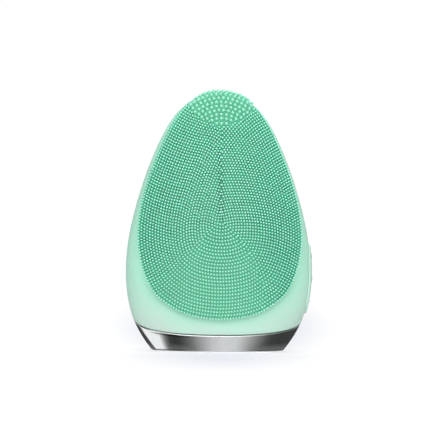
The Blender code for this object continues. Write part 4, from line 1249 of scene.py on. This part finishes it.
def flat_ring(z, inset, level):
    """Section of the form at z, moved in level and laid at another height."""
    points, normals = surf(z, ANGLES)
    out = normals[:, :2] / np.linalg.norm(normals[:, :2], axis=1, keepdims=True)
    return np.column_stack([points[:, :2] - out * inset, np.full(COLS, level)])


def build_cup():
    # (height of the section over the base, inset, level)
    layers = [flat_ring(BASE_Z + up, inset, level) for up, inset, level in (
        (0.0, 1.48, 1.08), (0.0, 1.48, BASE_Z + 0.15), (0.0, 1.36, BASE_Z),
        (0.0, 0.55, BASE_Z), (0.10, 0.28, BASE_Z + 0.08), (0.25, 0.08, BASE_Z + 0.24))]
    rim = rim_height(ANGLES, CUP_SHIFT)
    low, high = BASE_Z + 0.5, rim - CUP_BEVEL
    layers += [ring_at(low + (high - low) * i / 26, 0.0) for i in range(27)]
    bevel_start = len(layers)
    for k in range(1, 6):
        turn = math.pi / 2 * k / 5
        layers.append(ring_at(high + CUP_BEVEL * math.sin(turn),
                              -CUP_BEVEL * (1 - math.cos(turn))))
    bevel_end = len(layers)
    for z, inset in ((rim, CUP_WALL), (5.0, CUP_WALL), (5.0, CUP_LEDGE), (2.4, CUP_LEDGE)):
        layers.append(ring_at(z, -inset))
    verts = np.vstack(layers)
    edge = np.zeros(len(verts))
    edge[bevel_start * COLS:bevel_end * COLS] = 1.0
    across = verts[:, 0] / half_width(np.clip(verts[:, 2], 0.0, 30.0))
    # painted dark reflection: its strength across the front of the rim
    dark_reflection = np.where(verts[:, 1] < 2.0, lookup(across, RIM_DARK_REFLECTION), 0.4)
    obj = fix_normals(new_object("plated_cup", verts, capped_faces(len(layers), COLS),
                                 "housing", "plated_base", None, {"edge": edge, "dark_reflection": dark_reflection}))
    spots = [mm_centre(f"base_screw_{i}")[:2].tolist() for i in range(1, 5)]
    # screw places: (name, low z, high z, radius, operation)
    for name, low, high, radius, operation in (
            ("boss", 1.8, 5.8, 3.1, "UNION"), ("head", -1, 3.2, 2.05, "DIFFERENCE"),
            ("shank", 2, 8, 1.15, "DIFFERENCE")):
        items = [((x, y, low), (x, y, high), radius) for x, y in spots]
        boolean(obj, cylinders(name, items), operation)
    smooth(obj, 32)
    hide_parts("base_cup")


def build_foot():
    """Ring-shaped foot, faintly glowing."""
    verts = np.vstack([flat_ring(BASE_Z, inset, level) for inset, level in FOOT_RINGS])
    obj = fix_normals(new_object("foot", verts, capped_faces(len(FOOT_RINGS), COLS),
                                 "housing", "foot_rubber", 35))
    # painted light: a faint glow keeps the foot's shaded rim white
    inputs = MATERIALS["foot_rubber"].node_tree.nodes["Principled BSDF"].inputs
    inputs["Emission Color"].default_value = (0.93, 0.94, 0.96, 1.0)
    inputs["Emission Strength"].default_value = 0.45
    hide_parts("foot_pad")


build_cup()
build_foot()

# ------------------------------------------------------------------ studio, metres
YAW = math.radians(-3.0)
CAMERA_DISTANCE = 1.06
AIM = Vector((-0.001, 0.0, 0.0542))
BACK = Vector((math.sin(YAW), -math.cos(YAW), 0.0))  # from the aim towards the camera
EYE = AIM + BACK * CAMERA_DISTANCE
WHITE = 1.02  # brightness of floor and world
# Towards +Y, glossy rays see a darker floor and world: range of the direction's y, and loss
DARK_RANGE, DARK_LOSS = (0.80, 0.96), 0.80


def floor_pools(mat, x, y):
    """Strength of two soft pools of shade, one before the base and one behind it.

    They are laid out on the upright plane through the aim, onto which the floor is projected
    from the eye.
    """
    def along(way_x, way_y):
        """Distance from the eye along a level direction."""
        return mat.plus(mat.times(mat.minus(x, EYE.x), way_x),
                        mat.times(mat.minus(y, EYE.y), way_y))

    ahead = mat.math("MAXIMUM", along(-BACK.x, -BACK.y), 0.05)
    near = mat.math("DIVIDE", CAMERA_DISTANCE, ahead)
    plane_x = mat.times(along(math.cos(YAW), math.sin(YAW)), near)
    plane_z = mat.times(mat.minus(1.0, near), EYE.z)

    def soft_pool(centre, radius, up, down, gain, power):
        """Falls to 0 at an oval whose upper and lower halves differ in height."""
        across = mat.math("DIVIDE", mat.minus(plane_x, centre[0]), radius)
        rise = mat.minus(plane_z, centre[1])
        rise = mat.math("MAXIMUM", mat.math("DIVIDE", rise, up),
                        mat.math("DIVIDE", rise, -down))
        away = mat.math("SQRT", mat.plus(mat.times(across, across), mat.times(rise, rise)))
        left = mat.math("MAXIMUM", mat.minus(1.0, away), 0.0)
        return mat.times(mat.math("POWER", left, power), gain)

    before = soft_pool((0.0022, -0.0024), radius=0.046, up=0.0028, down=0.0064,
                       gain=1.25, power=1.0)
    behind = soft_pool((0.0027, 0.0095), radius=0.048, up=0.018, down=0.015,
                       gain=3.7, power=1.3)
    return mat.math("MINIMUM", 1.0, mat.math("MAXIMUM", before, behind))


def floor_material():
    """White that turns from lit to glowing away from the brush, with painted pools of shade for
    the camera.
    """
    mat = material("floor_white")
    base = mat.ramp(mat.noise(scale=3.0), [(0.3, (0.95, 0.955, 0.96)), (0.7, (0.96, 0.965, 0.97))])
    mat.set(Base_Color=base, Roughness=0.6, Specular_IOR_Level=0.2)
    x, y, _ = mat.axes()
    distance = mat.add("ShaderNodeVectorMath", {0: mat.coord},
                       operation="LENGTH").outputs["Value"]
    behind = mat.spread(mat.math("DIVIDE", y, distance), over=DARK_RANGE)
    path = mat.add("ShaderNodeLightPath").outputs
    dark = mat.times(behind, path["Is Glossy Ray"])
    strength = mat.minus(WHITE, mat.times(dark, DARK_LOSS))
    glow = mat.add("ShaderNodeEmission", {"Strength": strength}).outputs[0]
    away = mat.spread(distance, over=(0.03, 0.14))
    blend = mat.mix_shader(away, mat.bsdf.outputs[0], glow)
    pooled = mat.mix(floor_pools(mat, x, y), (WHITE, WHITE, WHITE), (0.79, 0.815, 0.88))
    shade = mat.add("ShaderNodeEmission", {"Color": pooled}).outputs[0]
    seen = mat.mix_shader(0.80, blend, shade)
    mat.surface(mat.mix_shader(path["Is Camera Ray"], blend, seen))
    return mat.owner


def build_floor():
    half = 6000.0  # mm
    corners = [(-half, -half, 0), (half, -half, 0), (half, half, 0), (-half, half, 0)]
    floor = add_mesh("floor", corners, [(0, 1, 2, 3)])
    floor.location = (0, 0, -0.00005)
    floor.data.materials.append(floor_material())


def build_world():
    """White world, dimmer for rays that are neither camera nor glossy rays."""
    world = Nodes(bpy.data.worlds.new("studio"))
    bpy.context.scene.world = world.owner
    path = world.add("ShaderNodeLightPath").outputs
    seen = world.math("MAXIMUM", path["Is Camera Ray"], path["Is Glossy Ray"])
    light = world.spread(seen, to=(0.40, WHITE), over=(0.0, 1.0))
    direction = world.add("ShaderNodeTexCoord").outputs["Generated"]
    dark = world.spread(world.axes(direction)["Y"], to=(0.0, DARK_LOSS), over=DARK_RANGE)
    dark = world.times(dark, path["Is Glossy Ray"])
    background = world.tree.nodes["Background"].inputs
    background["Color"].default_value = (1, 1, 1, 1)
    world.feed(world.minus(light, dark), background["Strength"])


# Area lights: name, location, target, (width, height), power in watts
LIGHTS = [
    ("key", (-0.45, -1.0, 0.75), (0, 0, 0.05), (0.7, 0.7), 5.2),
    ("fill", (0.65, -0.9, 0.45), (0, 0, 0.05), (0.7, 0.7), 2.6),
    ("front", (0.0, -1.3, 0.22), (0, 0, 0.05), (0.6, 0.6), 3.0),
    ("top", (0.0, 0.05, 1.0), (0, 0, 0.0), (0.8, 0.8), 5.0),
    ("rim", (0.1, 0.9, 0.7), (0, 0, 0.06), (0.6, 0.6), 3.5),
    ("low", (-0.05, -0.75, 0.05), (0, 0, 0.02), (0.6, 0.12), 1.5),
]


def build_lights():
    for name, location, target, size, power in LIGHTS:
        light = bpy.data.lights.new(name, "AREA")
        light.shape = "RECTANGLE"
        light.size, light.size_y = size
        light.energy = power
        obj = link_mesh(name, light)
        obj.location = location
        aim = Vector(target) - Vector(location)
        obj.rotation_euler = aim.to_track_quat("-Z", "Y").to_euler()


build_floor()
build_world()
build_lights()

# ------------------------------------------------------------------ reflection cards, mm
# (place across the base, -1 left edge to 1 right edge; brightness wanted there)
GLINT = [
    (-1.0, 0.045), (-0.955, 0.045), (-0.935, 0.86), (-0.79, 0.82), (-0.765, 0.50),
    (-0.72, 0.16), (-0.67, 0.05), (-0.60, 0.034), (-0.54, 0.042), (-0.46, 0.085),
    (-0.37, 0.17), (-0.28, 0.29), (-0.19, 0.41), (-0.10, 0.53), (0.0, 0.60), (0.12, 0.62),
    (0.22, 0.60), (0.30, 0.49), (0.37, 0.37), (0.44, 0.27), (0.52, 0.17), (0.60, 0.085),
    (0.68, 0.048), (0.80, 0.040), (1.0, 0.044)]
# Darkening of the lowest strip: (place across, share)
FOOT_DARK = [(-0.97, 0), (-0.92, 1), (-0.60, 1), (-0.45, 0), (0.40, 0), (0.60, 0.6), (1.0, 0.6)]
PLATING_SHARE = 0.76  # share of the light that the plating gives back


def glint(across):
    return lookup(across, GLINT) / PLATING_SHARE


def card(name, rows, faces, values):
    """Glowing sheet seen only in reflections; values: brightness at its points."""
    obj = add_mesh(name, np.vstack(rows), faces, {"v": values})
    mat = material(name)
    mat.tree.nodes.remove(mat.bsdf)
    mat.surface(mat.add("ShaderNodeEmission", {
        "Strength": mat.attr("v"), "Color": (0.985, 1.0, 1.0, 1.0)}).outputs[0])
    obj.data.materials.append(mat.owner)
    obj.visible_camera = obj.visible_diffuse = obj.visible_shadow = False
    obj.visible_transmission = obj.visible_volume_scatter = False


def front_card():
    """Strips on the floor, placed where the sloping base mirrors them towards the camera."""
    eye = np.array(EYE) / MILLI
    angles = np.linspace(-math.pi / 2 - 1.62, -math.pi / 2 + 1.62, 361)
    level = 0.25
    lip = rim_height(angles, CUP_SHIFT) - CUP_BEVEL
    rows, values = [], []
    for z in np.concatenate([[0.62, 1.0], np.arange(1.4, 13.6, 0.3)]):
        points, normals = surf(z, angles)
        sight = points - eye
        sight /= np.linalg.norm(sight, axis=1, keepdims=True)
        mirrored = sight - 2 * (sight * normals).sum(1, keepdims=True) * normals
        run = np.minimum((z - level) / np.maximum(-mirrored[:, 2], 1e-3), 260.0)
        hit = points + mirrored * run[:, None]
        hit[:, 2] = level
        rows.append(hit)
        across = points[:, 0] / half_width(z)
        # dark line under the lip on the left, and dark patches at the foot
        dark = np.clip(1.6 - np.abs(z - (lip - 0.35)) / 0.35, 0, 1)
        dark = dark * np.clip((across + 0.88) / 0.08, 0, 1)
        dark = dark * np.clip((-0.30 - across) / 0.3, 0, 1)
        if z < 1.3:
            dark = np.maximum(dark, lookup(across, FOOT_DARK))
        # the edges of the left glint lean with height
        inner_lean = 0.005 * (z - 4.5) * np.clip(1.3 - np.abs(across + 0.735) * 4, 0, 1)
        outer_lean = 0.006 * (z - 5.8) * np.clip(-(across + 0.86) * 20, 0, 1)
        value = glint(across - inner_lean + outer_lean)
        floor_light = 0.11 * min(max((4.4 - z) / 3.2, 0.0), 1.0) / PLATING_SHARE
        values.append(np.maximum(value, value * 0.5 + floor_light) * (1 - 0.8 * dark))
    faces = grid_faces(len(rows), len(angles), wrap=False)
    card("reflection_card_front", rows, faces, np.concatenate(values))


def round_card():
    """The same strips all round the base, a little lower, for the other sides."""
    count, z = 240, 0.6
    points = surf(z, np.linspace(0, 2 * math.pi, count, endpoint=False))[0]
    rows = [np.column_stack([points[:, :2] * grow, np.full(count, 0.2)])
            for grow in (1.0, 1.3, 1.9, 3.0)]
    across = np.where(points[:, 1] > 0, -1, 1) * points[:, 0] / half_width(z)
    values = np.tile(np.maximum(glint(across), 0.10), len(rows))
    card("reflection_card_round", rows, grid_faces(len(rows), count), values)


front_card()
round_card()


# ------------------------------------------------------------------ camera
def build_camera():
    data = bpy.data.cameras.new("camera")
    data.sensor_width = 36.0
    data.lens = 220.0
    data.clip_start, data.clip_end = 0.05, 20.0
    camera = link_mesh("camera", data)
    camera.location = EYE
    camera.rotation_mode = "QUATERNION"
    roll = Matrix.Rotation(math.radians(0.45), 3, "Z").to_quaternion()
    camera.rotation_quaternion = (-BACK).to_track_quat("-Z", "Y") @ roll
    scene = bpy.context.scene
    scene.camera = camera
    scene.view_settings.view_transform = "Standard"
    scene.view_settings.look = "None"


build_camera()
